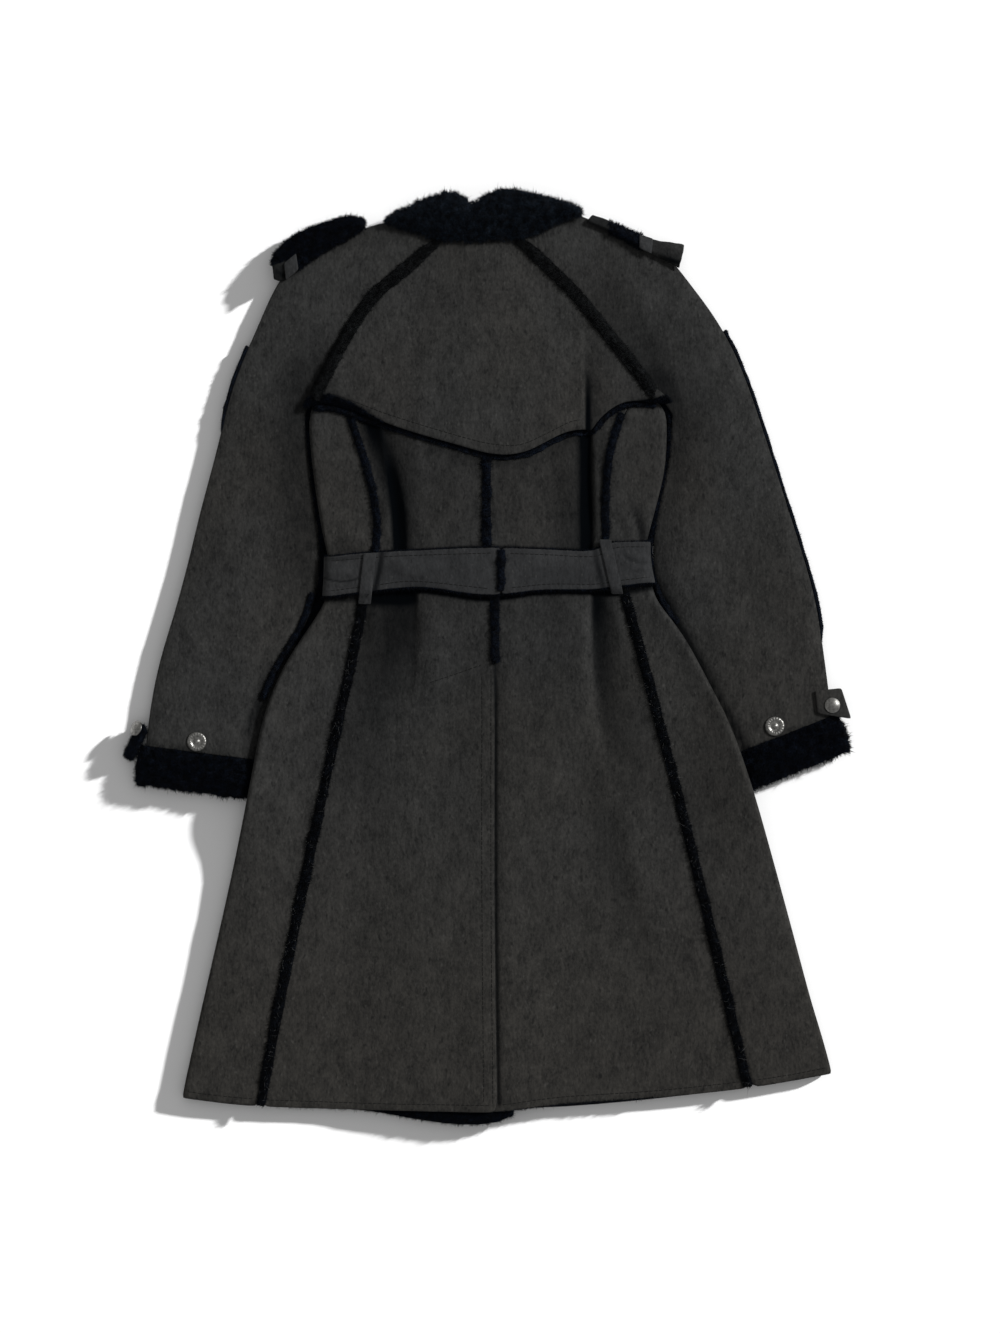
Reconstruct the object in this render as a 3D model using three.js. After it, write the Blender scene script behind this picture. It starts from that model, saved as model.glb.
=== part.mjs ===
// Belted trench coat in bonded shearling, laid out flat on its front with the back up.
// Millimetres. +X is to the right of the back, +Y towards the collar, +Z up from the surface.
// Each cut piece is a wall of its own, worked out from edge curves and one shared stack of
// layers: front pieces on the surface, then the back pieces, then yoke, collar, belt and trim.
import * as THREE from 'three';

// ---- cloth and seams
const WALL = 6;            // face cloth and its pressed pile
const GAP = 0.3;           // between pieces that touch
const STACK_GAP = 1;       // between layers that lie on each other
const PRESSED = 3;         // a hidden edge, pressed thin
const PRESS_RUN = 45;      // length over which a hidden edge thins, and a layer steps over it
const STEP = PRESSED + STACK_GAP;
const REST = WALL - PRESSED;
const LAYER = WALL + STACK_GAP;

// ---- finishes
const FINISH = {
  cloth: { color: 0x33312d, roughness: 0.95, metalness: 0 },
  pile: { color: 0x090a0e, roughness: 1, metalness: 0 },
  metal: { color: 0x8a8884, roughness: 0.38, metalness: 1 },
};
const PILE_PIECES = /welt|trim|collar_fall|^cuff_(left|right)$|^epaulette_left$/;
const finishOf = (name) => {
  if (name.includes('snap')) return 'metal';
  return PILE_PIECES.test(name) ? 'pile' : 'cloth';
};

// ---- body levels along Y
const HEM_LEVEL = -490;
const HEM_TRUE_FROM = -360; // below this the rows bend to the hem's own line
const YOKE_SEAM = 340;      // top of the back panels, under the yoke
const SIDE_TOP = 296;       // top point of the side panels
const HIDDEN_EASE = 2;      // more ease where a seam is out of sight
const NECK_LEVEL = 466;
const FRONT_MEET = 450;     // above this the two fronts meet edge to edge
const FRONT_FADE = 20;

// ---- belt
const BELT_WALL = 3.5;
const BELT_LIFT = BELT_WALL + STACK_GAP;
const BELT_RAMP = 20;
const BELT_EASE = 12;       // the fronts stay lifted this far past the belt
const BELT_SEAM_X = 10;
const FRONT_BELT = { leftX: -187, leftLow: 67, rightX: 179, rightLow: 83, deep: 45 };

// ---- vent in the middle of the back
const VENT_TOP = -6;
const VENT_UNDER = 25;      // how far the right panel runs under the left
const VENT_RUN = 30;
const VENT_EASE = 9;        // the right panel thins over this width before it goes under

// ---- sleeves and cuffs
const EDGE_ROUND = 14;      // the outer edge rounds over this width
const EDGE_THIN = 0.35;
const UNDER_RUN = 26;       // the underarm edge thins over this width
const UNDER_THIN = 0.3;
const CUFF_DEEP = 42;
const CUFF_WALL = 6.6;
// the cuff stands out past the sleeve's outer edge, more in its middle, and thins at both lips
const CUFF_OUT = { ends: 4.8, middle: 3.2 };
const CUFF_LIP = 0.35;
const CUFF_ACROSS = [0, 0.03, 0.1, 0.24, 0.42, 0.6, 0.78, 0.92, 1];
// the flat opening inside it, as shares of its width and height
const CUFF_SLIT = { inset: 0.03, least: 0.12, most: 0.9, opens: 6 };

// ---- trim
const WELT_HIGH = 2.4;
const WELT_EASE = 0.6;      // between a welt and the panels it lies on
const WELT_ACROSS = [-0.5, -0.2, 0.2, 0.5];
const WELT_SHOULDER = 0.45; // share of the height at a welt's two edges
const WELT_CLEAR = 4;       // no row this near a welt's end
const EDGE_WELT = { radius: 2.8, core: 0.2, from: 0.44, to: 0.93 }; // from and to: shares of the sleeve's length
const LOOP_WALL = 2.6;
const LOOP_REACH = 5;      // a loop rises this far before the belt's edge
const FALL_WALL = 8;
const COLLAR_ROUND = 0.82;  // how far a collar layer thins at its two long edges
// snaps: radius and height, from the middle of the top round to the middle of the underside
const RING_SNAP = [[0, 2.2], [2.6, 1.8], [5.6, 1.2], [7, 2.4], [9.6, 2.4], [11, 1.2], [11, 0], [0, 0]];
const STRAP_SNAP = [[0, 3.2], [3.6, 2.9], [6.6, 2], [8.5, 1], [8.5, 0], [0, 0]];
const SNAP_PARTS = 16;

// ---- edge curves of the body, each row: level along Y, place along X
const SIDE_EDGE = {
  left: [[296, -188], [285, -194], [271, -203], [226, -200], [141, -188], [108, -181], [67, -183],
    [35, -201], [2, -224], [-29, -239], [-70, -253], [-157, -270], [-266, -293], [-398, -323], [-490, -342]],
  right: [[296, 171], [285, 181], [271, 193], [226, 193], [141, 174], [122, 170], [67, 180],
    [35, 205], [2, 224], [-29, 240], [-70, 261], [-157, 291], [-266, 322], [-398, 356], [-490, 375]],
};
const PRINCESS = {
  left: [[340, -190], [296, -170], [251, -151], [185, -131], [148, -125], [91, -136], [1, -153],
    [-103, -176], [-240, -205], [-371, -232], [-490, -254]],
  right: [[340, 190], [296, 164], [262, 141], [232, 130], [160, 124], [97, 132], [67, 146], [-10, 168],
    [-117, 196], [-261, 232], [-392, 263], [-490, 285]],
};
const BACK_SEAM = [[340, -12], [224, -6], [141, -6], [91, 1], [1, 4], [-263, 3], [-490, 6]];
// hem of the back, each row: place along X, level along Y
const HEM = [[-343, -484], [-266, -493], [-134, -497], [3, -499], [75, -491], [179, -484], [284, -473], [377, -457]];
const HEM_UNDER_LEFT = [[-343, -484], [-266, -493], [-240, -494], [-134, -498], [-67, -511], [14, -516], [26, -507]];
const HEM_UNDER_RIGHT = [[-122, -490], [30, -497], [179, -486], [284, -473], [377, -457]];
// the edges of the two fronts, which lap over each other
const FRONT_EDGE = {
  right: [[450, -8], [400, -30], [300, -75], [90, -95], [-490, -122]],
  left: [[450, -8], [400, 18], [300, 58], [90, 75], [-490, 26]],
};
// lower edge of the yoke, each row: place along X, level along Y
const YOKE_LEVEL = 268;
const YOKE_BLEND = 36;
const YOKE_EDGE = [[-211, 274], [-189, 284], [-166, 280], [-111, 257], [-32, 233], [2, 224], [20, 223], [37, 226],
  [86, 250], [103, 251], [109, 250], [117, 262], [130, 274], [151, 283], [168, 282], [199, 281]];
// sleeve stations from the neck to the cuff: outer edge x, y, then inner edge x, y
const SLEEVE = {
  left: [[-110, 481, -57, 466], [-139, 474, -88, 433], [-165, 462, -117, 411], [-195, 448, -138, 389],
    [-224, 430, -154, 364], [-243, 399, -168, 340], [-259, 362, -180, 316], [-274, 328, -195, 289],
    [-290, 284, -208, 266], [-304, 223, -201.5, 227], [-321, 163, -194.5, 170], [-335, 102, -185, 113],
    [-350, 47, -196, 51], [-366, -2, -226, -2], [-376, -52, -238, -52], [-381, -97, -248, -114]],
  right: [[92, 489, 24, 468], [114, 480, 54, 437], [140, 470, 79, 414], [168, 457, 102, 389],
    [195, 441, 121, 364], [216, 414, 140, 341], [240, 383, 157, 319], [265, 341, 178, 294],
    [286, 289, 199, 268], [306, 227, 196, 227], [326, 165, 187, 182], [344, 108, 174, 119],
    [357, 62, 184, 64], [364, 14, 216, 9], [370, -31, 238, -46], [374, -64, 256, -110]],
};
const ARMPIT_ROW = 8;
const RAGLAN_STEPS = 12;    // rows of a sleeve down to the armpit
// shares across the yoke, closer where its edge turns
const YOKE_ACROSS = [0, 0.025, 0.06, 0.11, 0.17, 0.23, 0.3, 0.37, 0.43, 0.48, 0.516, 0.56, 0.61, 0.66, 0.71,
  0.75, 0.764, 0.779, 0.799, 0.83, 0.87, 0.91, 0.955, 1];
// folds of the back, each a soft ridge: from x, y to x, y, half width, height
const FOLDS = [[-152, 245, -134, 138, 16, 3.2], [132, 250, 131, 138, 14, 3.2], [154, 170, 166, 140, 8, 2],
  [-140, 45, -168, -120, 16, 3], [-74, 48, -98, -260, 24, 2.6], [62, 48, 70, -250, 26, 2.4],
  [158, 45, 188, -100, 14, 3], [104, -50, 166, -322, 20, 3], [-250, -230, -290, -430, 24, 2.4],
  [262, -200, 318, -430, 26, 2.6]];
const FOLD_END = 40;
// the fold that drops down the right of the yoke
const YOKE_FOLD = { from: -40, rise: 110, drop: 118, dropRun: 16, top: 374, topRun: 70, high: 3.3 };
// collar, each row: place along X, lower edge, roll along the top
const COLLAR = [[-116, 478, 483], [-95, 473, 493], [-73, 466, 504], [-57, 461, 509], [-43, 460, 511],
  [-33, 460, 507], [-23, 460, 497], [-13, 460, 504], [2, 460, 512], [22, 461, 516], [44, 466, 509],
  [69, 478, 504], [85, 485, 498], [97, 487, 492]];
const NECK = [[-113, 482], [-85, 475], [-57, 467], [24, 469], [58, 480], [92, 490]];
// epaulettes from the neck end: outer edge x, y, then the edge on the shoulder x, y
const EPAULETTE = {
  left: [[-141, 483, -139, 473], [-156, 487, -151, 465], [-175, 482, -172, 454], [-200, 474, -198, 438],
    [-219, 465, -213, 426], [-234, 452, -230, 413], [-242, 440, -240, 416]],
  right: [[111, 488, 104, 479], [133, 480, 128, 468], [149, 472, 145, 460], [165, 465, 165, 448],
    [185, 459, 181, 441], [200, 457, 195, 434], [212, 455, 206, 428]],
};
const EPAULETTE_DROP = 7;
const EPAULETTE_FLAT = 0.3; // share of the width that lies flat before the drop
const EPAULETTE_EDGE = 0.55; // share of the wall at the two long edges
// where each keeper crosses its epaulette, as shares of its length, and how much of the width it holds
const KEEPER = { left: { from: 0.66, to: 0.79, holds: 0.45 }, right: { from: 0.47, to: 0.6, holds: 1 } };
// belt on the back, each row: place along X, lower edge, upper edge
const BELT_BACK = [[-187, 67, 111], [-127, 74, 116], [-83, 78, 118], [-4, 69, 121], [64, 75, 119],
  [112, 75, 117], [124, 77, 127], [179, 83, 128]];
// belt loops: top x, y, bottom x, y, width
const BELT_LOOP = { left: [-133, 122, -140, 60, 14], right: [123, 133, 138, 69, 13] };

// welts of raw fur on the seams: upper and lower level, width
const WELTS = {
  raglan: 14,
  raglanTop: 0.024,         // the share of the sleeve's length where it comes out from the collar
  princess_upper: { left: [259, 126], right: [262, 138], wide: 8 },
  princess_lower: { left: [55, -491], right: [62, -471], wide: 11 },
  back_upper: { span: [214, 126], wide: 10 },
  back_lower: { span: [64, -5], wide: 9 },
  belt: { span: [117, 96, 74], wide: 8 },
};
// the raw fur along the yoke's lower edge: how far out from the edge, and its width
const YOKE_TRIM = { out: 4.6, wide: 7 };
// underarm welts, each row: level along Y, place along X
const UNDERARM_WELT = { left: [[66, -200], [35, -209], [2, -231], [-20, -242], [-45, -253]],
  right: [[80, 184], [64, 190], [50, 199], [40, 207]] };
const UNDERARM_WIDE = 6;
const UNDERARM_SHARE = 0.7; // of a welt's height
// cuff straps, four corners from the inner top, then underside and height
const STRAP = {
  left: { corners: [[-388.5, -73], [-380.5, -78], [-396.5, -112.5], [-404.5, -107.5]], under: 2, high: 12 },
  right: { corners: [[355, -36], [384, -33], [395, -67], [358, -61]], under: 14, high: 3 },
};
const SLEEVE_FACE = 13.2;   // a snap's seat on a sleeve
const TAB_FACE = STRAP.right.under + STRAP.right.high;
// where each snap sits and which way it faces; the left strap stands on its edge, and its snap leans over that edge
const SNAPS = {
  ring_snap_left: { seat: [-324.5, -92, SLEEVE_FACE + GAP], faces: [0, 0, 1], profile: RING_SNAP },
  ring_snap_right: { seat: [311, -75, SLEEVE_FACE + GAP], faces: [0, 0, 1], profile: RING_SNAP },
  strap_snap_left: { seat: [-390.9, -77.4, 14.4], faces: [-0.64, 0.3, 0.71], profile: STRAP_SNAP },
  strap_snap_right: { seat: [374, -52, TAB_FACE + GAP], faces: [0, 0, 1], profile: STRAP_SNAP },
};

// ---- small maths
const clamp01 = (t) => Math.min(1, Math.max(0, t));
const smooth = (t) => { const c = clamp01(t); return c * c * (3 - 2 * c); };
const mix = (a, b, t) => a + (b - a) * t;
const between = (v, lo, hi, ramp) => smooth((v - lo) / ramp + 1) * smooth((hi - v) / ramp + 1);
const range = (count) => Array.from({ length: count + 1 }, (_, k) => k / count);

// A smooth curve through table rows that never swings past them.
function curve(table, column = 1) {
  const rows = [...table].sort((p, q) => p[0] - q[0]);
  const slope = rows.slice(1).map((row, k) => (row[column] - rows[k][column]) / (row[0] - rows[k][0]));
  const tangent = rows.map((_, k) => {
    if (k === 0) return slope[0];
    if (k === rows.length - 1) return slope[k - 1];
    return slope[k - 1] * slope[k] <= 0 ? 0 : 2 * slope[k - 1] * slope[k] / (slope[k - 1] + slope[k]);
  });
  return (at) => {
    let k = 0;
    while (k < rows.length - 2 && at > rows[k + 1][0]) k += 1;
    const span = rows[k + 1][0] - rows[k][0];
    const t = clamp01((at - rows[k][0]) / span);
    const t2 = t * t;
    const t3 = t2 * t;
    return (2 * t3 - 3 * t2 + 1) * rows[k][column] + (t3 - 2 * t2 + t) * span * tangent[k]
      + (3 * t2 - 2 * t3) * rows[k + 1][column] + (t3 - t2) * span * tangent[k + 1];
  };
}
// A place along a table of stations, all columns at once, with t from 0 to 1.
function along(table) {
  const columns = table[0].map((_, c) => curve(table.map((row, k) => [k, row[c]])));
  return (t) => columns.map((column) => column(t * (table.length - 1)));
}
function levels(...runs) {
  const list = [];
  for (const [from, to, count] of runs) for (const t of range(count)) list.push(mix(from, to, t));
  return list.filter((v, k) => k === 0 || Math.abs(v - list[k - 1]) > 0.01);
}

// ---- one closed wall from its outer and inner grids of points
function wall(name, outer, inner, wraps = false) {
  const rows = outer.length;
  const cols = outer[0].length;
  const spans = wraps ? cols : cols - 1;
  const points = [outer, inner].flat(3);
  const id = (side, i, j) => (side * rows + i) * cols + (j % cols);
  const faces = [];
  const quad = (a, b, c, d) => faces.push(a, b, c, a, c, d);
  for (let j = 0; j < spans; j += 1) {
    for (let i = 0; i < rows - 1; i += 1) {
      quad(id(0, i, j), id(0, i, j + 1), id(0, i + 1, j + 1), id(0, i + 1, j));
      quad(id(1, i, j), id(1, i + 1, j), id(1, i + 1, j + 1), id(1, i, j + 1));
    }
    quad(id(0, 0, j), id(1, 0, j), id(1, 0, j + 1), id(0, 0, j + 1));
    quad(id(0, rows - 1, j), id(0, rows - 1, j + 1), id(1, rows - 1, j + 1), id(1, rows - 1, j));
  }
  for (let i = 0; i < rows - 1 && !wraps; i += 1) {
    quad(id(0, i, 0), id(0, i + 1, 0), id(1, i + 1, 0), id(1, i, 0));
    quad(id(0, i, cols - 1), id(1, i, cols - 1), id(1, i + 1, cols - 1), id(0, i + 1, cols - 1));
  }
  return meshOf(name, points, faces);
}
function meshOf(name, points, faces) {
  const at = (k) => new THREE.Vector3(points[3 * k], points[3 * k + 1], points[3 * k + 2]);
  let volume = 0;
  for (let k = 0; k < faces.length; k += 3) {
    volume += at(faces[k]).dot(at(faces[k + 1]).cross(at(faces[k + 2])));
  }
  if (volume < 0) {
    for (let k = 0; k < faces.length; k += 3) [faces[k + 1], faces[k + 2]] = [faces[k + 2], faces[k + 1]];
  }
  const geometry = new THREE.BufferGeometry();
  geometry.setAttribute('position', new THREE.Float32BufferAttribute(points, 3));
  geometry.setIndex(faces);
  const mesh = new THREE.Mesh(geometry, new THREE.MeshStandardMaterial(FINISH[finishOf(name)]));
  mesh.name = name;
  return mesh;
}

// ---- curves in use
const side = { left: curve(SIDE_EDGE.left), right: curve(SIDE_EDGE.right) };
const princess = { left: curve(PRINCESS.left), right: curve(PRINCESS.right) };
const frontEdge = { left: curve(FRONT_EDGE.left), right: curve(FRONT_EDGE.right) };
const backSeam = curve(BACK_SEAM);
const hem = curve(HEM);
const yokeEdge = curve(YOKE_EDGE);
const neck = curve(NECK);
const sleeve = { left: along(SLEEVE.left), right: along(SLEEVE.right) };
const byLevel = (rows) => curve(rows.map(([, , x, y]) => [y, x]));
const raglan = {
  left: byLevel(SLEEVE.left.slice(0, ARMPIT_ROW + 1)),
  right: byLevel(SLEEVE.right.slice(0, ARMPIT_ROW + 1)),
};
const underarm = { left: byLevel(SLEEVE.left.slice(ARMPIT_ROW)), right: byLevel(SLEEVE.right.slice(ARMPIT_ROW)) };
const beltLow = curve(BELT_BACK, 1);
const beltHigh = curve(BELT_BACK, 2);
const sign = { left: -1, right: 1 };
const SIDES = ['left', 'right'];

const LAST_STATION = SLEEVE.left.length - 1;
const RAGLAN_ROWS = range(RAGLAN_STEPS).map((v) => v * ARMPIT_ROW / LAST_STATION);
const SLEEVE_ROWS = [...RAGLAN_ROWS, ...range(LAST_STATION - ARMPIT_ROW).slice(1)
  .map((v) => mix(ARMPIT_ROW / LAST_STATION, 1, v))];

// ---- the stack of layers
// How thick the flattened sleeve still is, d in from its underarm edge.
const underShare = (d) => mix(UNDER_THIN, 1, clamp01(d / UNDER_RUN));
const sleeveIn = (which, x, y) => sign[which] * (x - underarm[which](y));
const UNDERARM = { top: 300, run: 60 };
const underarmShare = (which, x, y) => mix(1, underShare(sleeveIn(which, x, y)),
  smooth((UNDERARM.top - y) / UNDERARM.run));

// The skirt's side edges lie over the sleeves.
const OVER_SLEEVE = { top: 50, topRun: 45, bottom: -164, bottomRun: 55, run: 28, clear: 1.3 };
function sleeveLift(which, x, y) {
  const d = sleeveIn(which, x, Math.max(y, SLEEVE[which].at(-1)[3]));
  const edge = 2 * WALL * UNDER_THIN + OVER_SLEEVE.clear;
  const over = d > 0 ? 2 * WALL * underShare(d) + OVER_SLEEVE.clear : edge * smooth(1 + d / OVER_SLEEVE.run);
  return over * smooth((OVER_SLEEVE.top + OVER_SLEEVE.topRun - y) / OVER_SLEEVE.topRun)
    * smooth((y - OVER_SLEEVE.bottom) / OVER_SLEEVE.bottomRun + 1);
}
const frontBeltLow = (x) => mix(FRONT_BELT.leftLow, FRONT_BELT.rightLow,
  clamp01((x - FRONT_BELT.leftX) / (FRONT_BELT.rightX - FRONT_BELT.leftX)));
function beltLift(x, y) {
  const low = frontBeltLow(x);
  return BELT_LIFT * between(y, low - BELT_EASE, low + FRONT_BELT.deep + BELT_EASE, BELT_RAMP);
}
const floorOf = (x, y) => beltLift(x, y) + sleeveLift('left', x, y) + sleeveLift('right', x, y);
const meetFade = (y) => smooth((FRONT_MEET + FRONT_FADE - y) / FRONT_FADE);
const pressed = (d) => PRESSED + REST * smooth(d / PRESS_RUN);
const stepUp = (d) => STEP * smooth(1 + d / PRESS_RUN) + REST * smooth(d / PRESS_RUN);
const lapUnder = (x, y) => stepUp(x - frontEdge.right(y)) * meetFade(y);
const lapOver = (x, y) => Math.min(stepUp(x - frontEdge.right(y)), stepUp(frontEdge.left(y) - x)) * meetFade(y);

function foldLift(x, y) {
  let lift = 0;
  for (const [x0, y0, x1, y1, half, high] of FOLDS) {
    const t = (y0 - y) / (y0 - y1);
    const away = (x - mix(x0, x1, t)) / half;
    const ends = smooth((y0 - y) / FOLD_END) * smooth((y - y1) / FOLD_END);
    lift = Math.max(lift, high * ends * Math.exp(-away * away));
  }
  return lift;
}
// Underside and top of the back layer, before the vent.
const backUnder = (x, y) => floorOf(x, y) + LAYER + lapOver(x, y) + foldLift(x, y);
const backTop = (x, y) => backUnder(x, y) + WALL;
const ventShare = (y) => smooth((VENT_TOP - y) / VENT_RUN);
const ventReady = (y) => smooth((VENT_TOP + VENT_RUN - y) / VENT_RUN);
const ventLift = (x, y) => ventReady(y) * STEP * smooth((x - backSeam(y) + VENT_UNDER + VENT_RUN) / VENT_RUN);
const yokeFold = (x, y) => YOKE_FOLD.high * smooth((x - YOKE_FOLD.from) / YOKE_FOLD.rise)
  * smooth((YOKE_FOLD.drop - x) / YOKE_FOLD.dropRun) * smooth((YOKE_FOLD.top - y) / YOKE_FOLD.topRun);
const yokeUnder = (x, y) => backUnder(x, y) + stepUp(YOKE_SEAM - y) + yokeFold(x, y);
const yokeTop = (x, y) => yokeUnder(x, y) + WALL;

// ---- body panels
const laid = (x, level, line) => level
  + (line(x) - HEM_LEVEL) * smooth((HEM_TRUE_FROM - level) / (HEM_TRUE_FROM - HEM_LEVEL));
const evenly = (from, to, count) => (level) => range(count).map((u) => mix(from(level), to(level), u));
function panel(name, rows, across, place, under, thick) {
  const outer = [];
  const inner = [];
  for (const level of rows) {
    const line = across(level).map((x) => [x, place(x, level)]);
    outer.push(line.map(([x, y]) => [x, y, under(x, y) + thick(x, y)]));
    inner.push(line.map(([x, y]) => [x, y, under(x, y)]));
  }
  return wall(name, outer, inner);
}
const BODY_ROWS = levels([SIDE_TOP, 271, 1], [271, 140, 4], [140, 50, 7], [50, VENT_TOP + VENT_RUN, 1],
  [VENT_TOP + VENT_RUN, VENT_TOP, 1], [VENT_TOP, VENT_TOP - VENT_RUN, 1], [VENT_TOP - VENT_RUN, -160, 5],
  [-160, HEM_LEVEL, 6]);
const toHem = (line) => (x, level) => laid(x, level, line);

function backPanel(which) {
  const s = sign[which];
  const outerEdge = (y) => (y > SIDE_TOP ? s * Math.min(s * raglan[which](y) - HIDDEN_EASE, s * princess[which](y))
    : princess[which](y) - s * GAP / 2);
  const topThin = (y) => pressed(YOKE_SEAM - y);
  const rows = levels([YOKE_SEAM, SIDE_TOP + 1, 2]).concat(BODY_ROWS);
  if (which === 'left') {
    return panel('back_left', rows, evenly(outerEdge, (y) => backSeam(y) - GAP / 2, 10), toHem(hem),
      (x, y) => backUnder(x, y) + ventLift(x, y), (x, y) => topThin(y));
  }
  const underlap = (x, y) => REST * ventReady(y) * smooth((backSeam(y) + VENT_EASE - x) / (VENT_EASE - GAP));
  const across = (y) => {
    const seam = backSeam(y) + GAP / 2;
    const under = VENT_UNDER * ventShare(y);
    return [seam - under, seam + 1 - under / 2, seam + 2,
      ...evenly(() => seam + VENT_EASE, outerEdge, 9)(y)];
  };
  return panel('back_right', rows, across, toHem(hem), backUnder, (x, y) => topThin(y) - underlap(x, y));
}
function frontPanel(which) {
  const s = sign[which];
  const sideSeam = (y) => (y > SIDE_TOP ? raglan[which](y) - s * HIDDEN_EASE : princess[which](y) - s * GAP / 2);
  const rows = levels([NECK_LEVEL, FRONT_MEET, 1], [FRONT_MEET, SIDE_TOP + 1, 6]).concat(BODY_ROWS);
  const line = curve(which === 'left' ? HEM_UNDER_LEFT : HEM_UNDER_RIGHT);
  const meet = frontEdge[which];
  const edge = (y) => meet(y) + (y >= FRONT_MEET ? s * GAP : 0);
  if (which === 'left') {
    return panel('front_left', rows, evenly(sideSeam, edge, 7), toHem(line),
      (x, y) => floorOf(x, y) + lapUnder(x, y), (x, y) => pressed(meet(y) - x));
  }
  return panel('front_right', rows, evenly(edge, sideSeam, 6), toHem(line), floorOf, (x, y) => pressed(x - meet(y)));
}
// A side panel runs under, round the side edge and back over as one piece.
function sidePanel(which) {
  const half = WALL + STACK_GAP / 2;
  const slit = STACK_GAP / 2;
  const s = sign[which];
  const outer = [];
  const inner = [];
  for (const level of BODY_ROWS) {
    const edge = side[which](level);
    const seam = princess[which](level) + s * GAP / 2;
    const turn = s * Math.max(s * edge - half, s * seam + 0.5);
    const flat = range(3).map((u) => mix(seam, turn, u));
    const round = Math.abs(edge - turn);
    const out = [];
    const into = [];
    const put = (list, x, lift) => { const y = laid(x, level, hem); list.push([x, y, lift(x, y)]); };
    for (const x of flat.slice(0, -1)) {
      put(out, x, floorOf);
      put(into, x, (px, y) => floorOf(px, y) + WALL);
    }
    for (const a of range(5)) {
      const angle = Math.PI * (a - 0.5);
      const rise = (y) => floorOf(edge, y) + half;
      put(out, turn + s * round * Math.cos(angle), (_, y) => rise(y) + half * Math.sin(angle));
      put(into, turn + s * slit * Math.cos(angle), (_, y) => rise(y) + slit * Math.sin(angle));
    }
    for (const x of flat.slice(0, -1).reverse()) {
      put(out, x, backTop);
      put(into, x, backUnder);
    }
    outer.push(out);
    inner.push(into);
  }
  return wall(`side_${which}`, outer, inner);
}
// The yoke's rows run between the same raglan points as the sleeves.
function yokeRow(t) {
  const [, , lx, ly] = sleeve.left(t);
  const [, , rx, ry] = sleeve.right(t);
  return YOKE_ACROSS.map((u) => {
    const x = mix(lx + GAP, rx - GAP, u);
    const level = mix(ly, ry, u);
    return [x, level + (yokeEdge(x) - YOKE_LEVEL) * smooth((YOKE_LEVEL + YOKE_BLEND - level) / YOKE_BLEND)];
  });
}
function yoke() {
  const rows = RAGLAN_ROWS.map(yokeRow);
  return wall('yoke', rows.map((row) => row.map(([x, y]) => [x, y, yokeTop(x, y)])),
    rows.map((row) => row.map(([x, y]) => [x, y, yokeUnder(x, y)])));
}
// The path of the fur along the yoke's lower edge, out from the edge by its own drop.
function yokeHem() {
  const edge = yokeRow(RAGLAN_ROWS.at(-1));
  return edge.map(([x, y], k) => {
    const [ax, ay] = edge[Math.max(0, k - 1)];
    const [bx, by] = edge[Math.min(edge.length - 1, k + 1)];
    const long = Math.hypot(bx - ax, by - ay);
    return [x + YOKE_TRIM.out * (by - ay) / long, y - YOKE_TRIM.out * (bx - ax) / long];
  });
}

// ---- sleeves
const outerShare = (d) => mix(EDGE_THIN, 1, Math.sin(clamp01(d / EDGE_ROUND) * Math.PI / 2));
function sleevePoint(which, t, u) {
  const [ox, oy, ix, iy] = sleeve[which](t);
  const x = mix(ox, ix, u);
  const y = mix(oy, iy, u);
  return { x, y, edge: outerShare(u * Math.hypot(ox - ix, oy - iy)), under: underarmShare(which, x, y) };
}
const sleeveTopAt = ({ edge, under }) => LAYER * under + WALL * under * edge;
const SLEEVE_ACROSS = { back: [0, 0.05, 0.13, 0.4, 0.7, 0.86, 1], front: [0, 0.13, 0.7, 1] };
function sleevePiece(which, upper) {
  const outer = [];
  const inner = [];
  for (const t of SLEEVE_ROWS) {
    const line = SLEEVE_ACROSS[upper ? 'back' : 'front'].map((u) => sleevePoint(which, t, u));
    if (upper) {
      outer.push(line.map((p) => [p.x, p.y, sleeveTopAt(p)]));
      inner.push(line.map((p) => [p.x, p.y, LAYER * p.under]));
    } else {
      outer.push(line.map((p) => [p.x, p.y, WALL * p.under]));
      inner.push(line.map((p) => [p.x, p.y, WALL * p.under * (1 - p.edge)]));
    }
  }
  return wall(`sleeve_${upper ? 'back' : 'front'}_${which}`, outer, inner);
}
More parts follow.
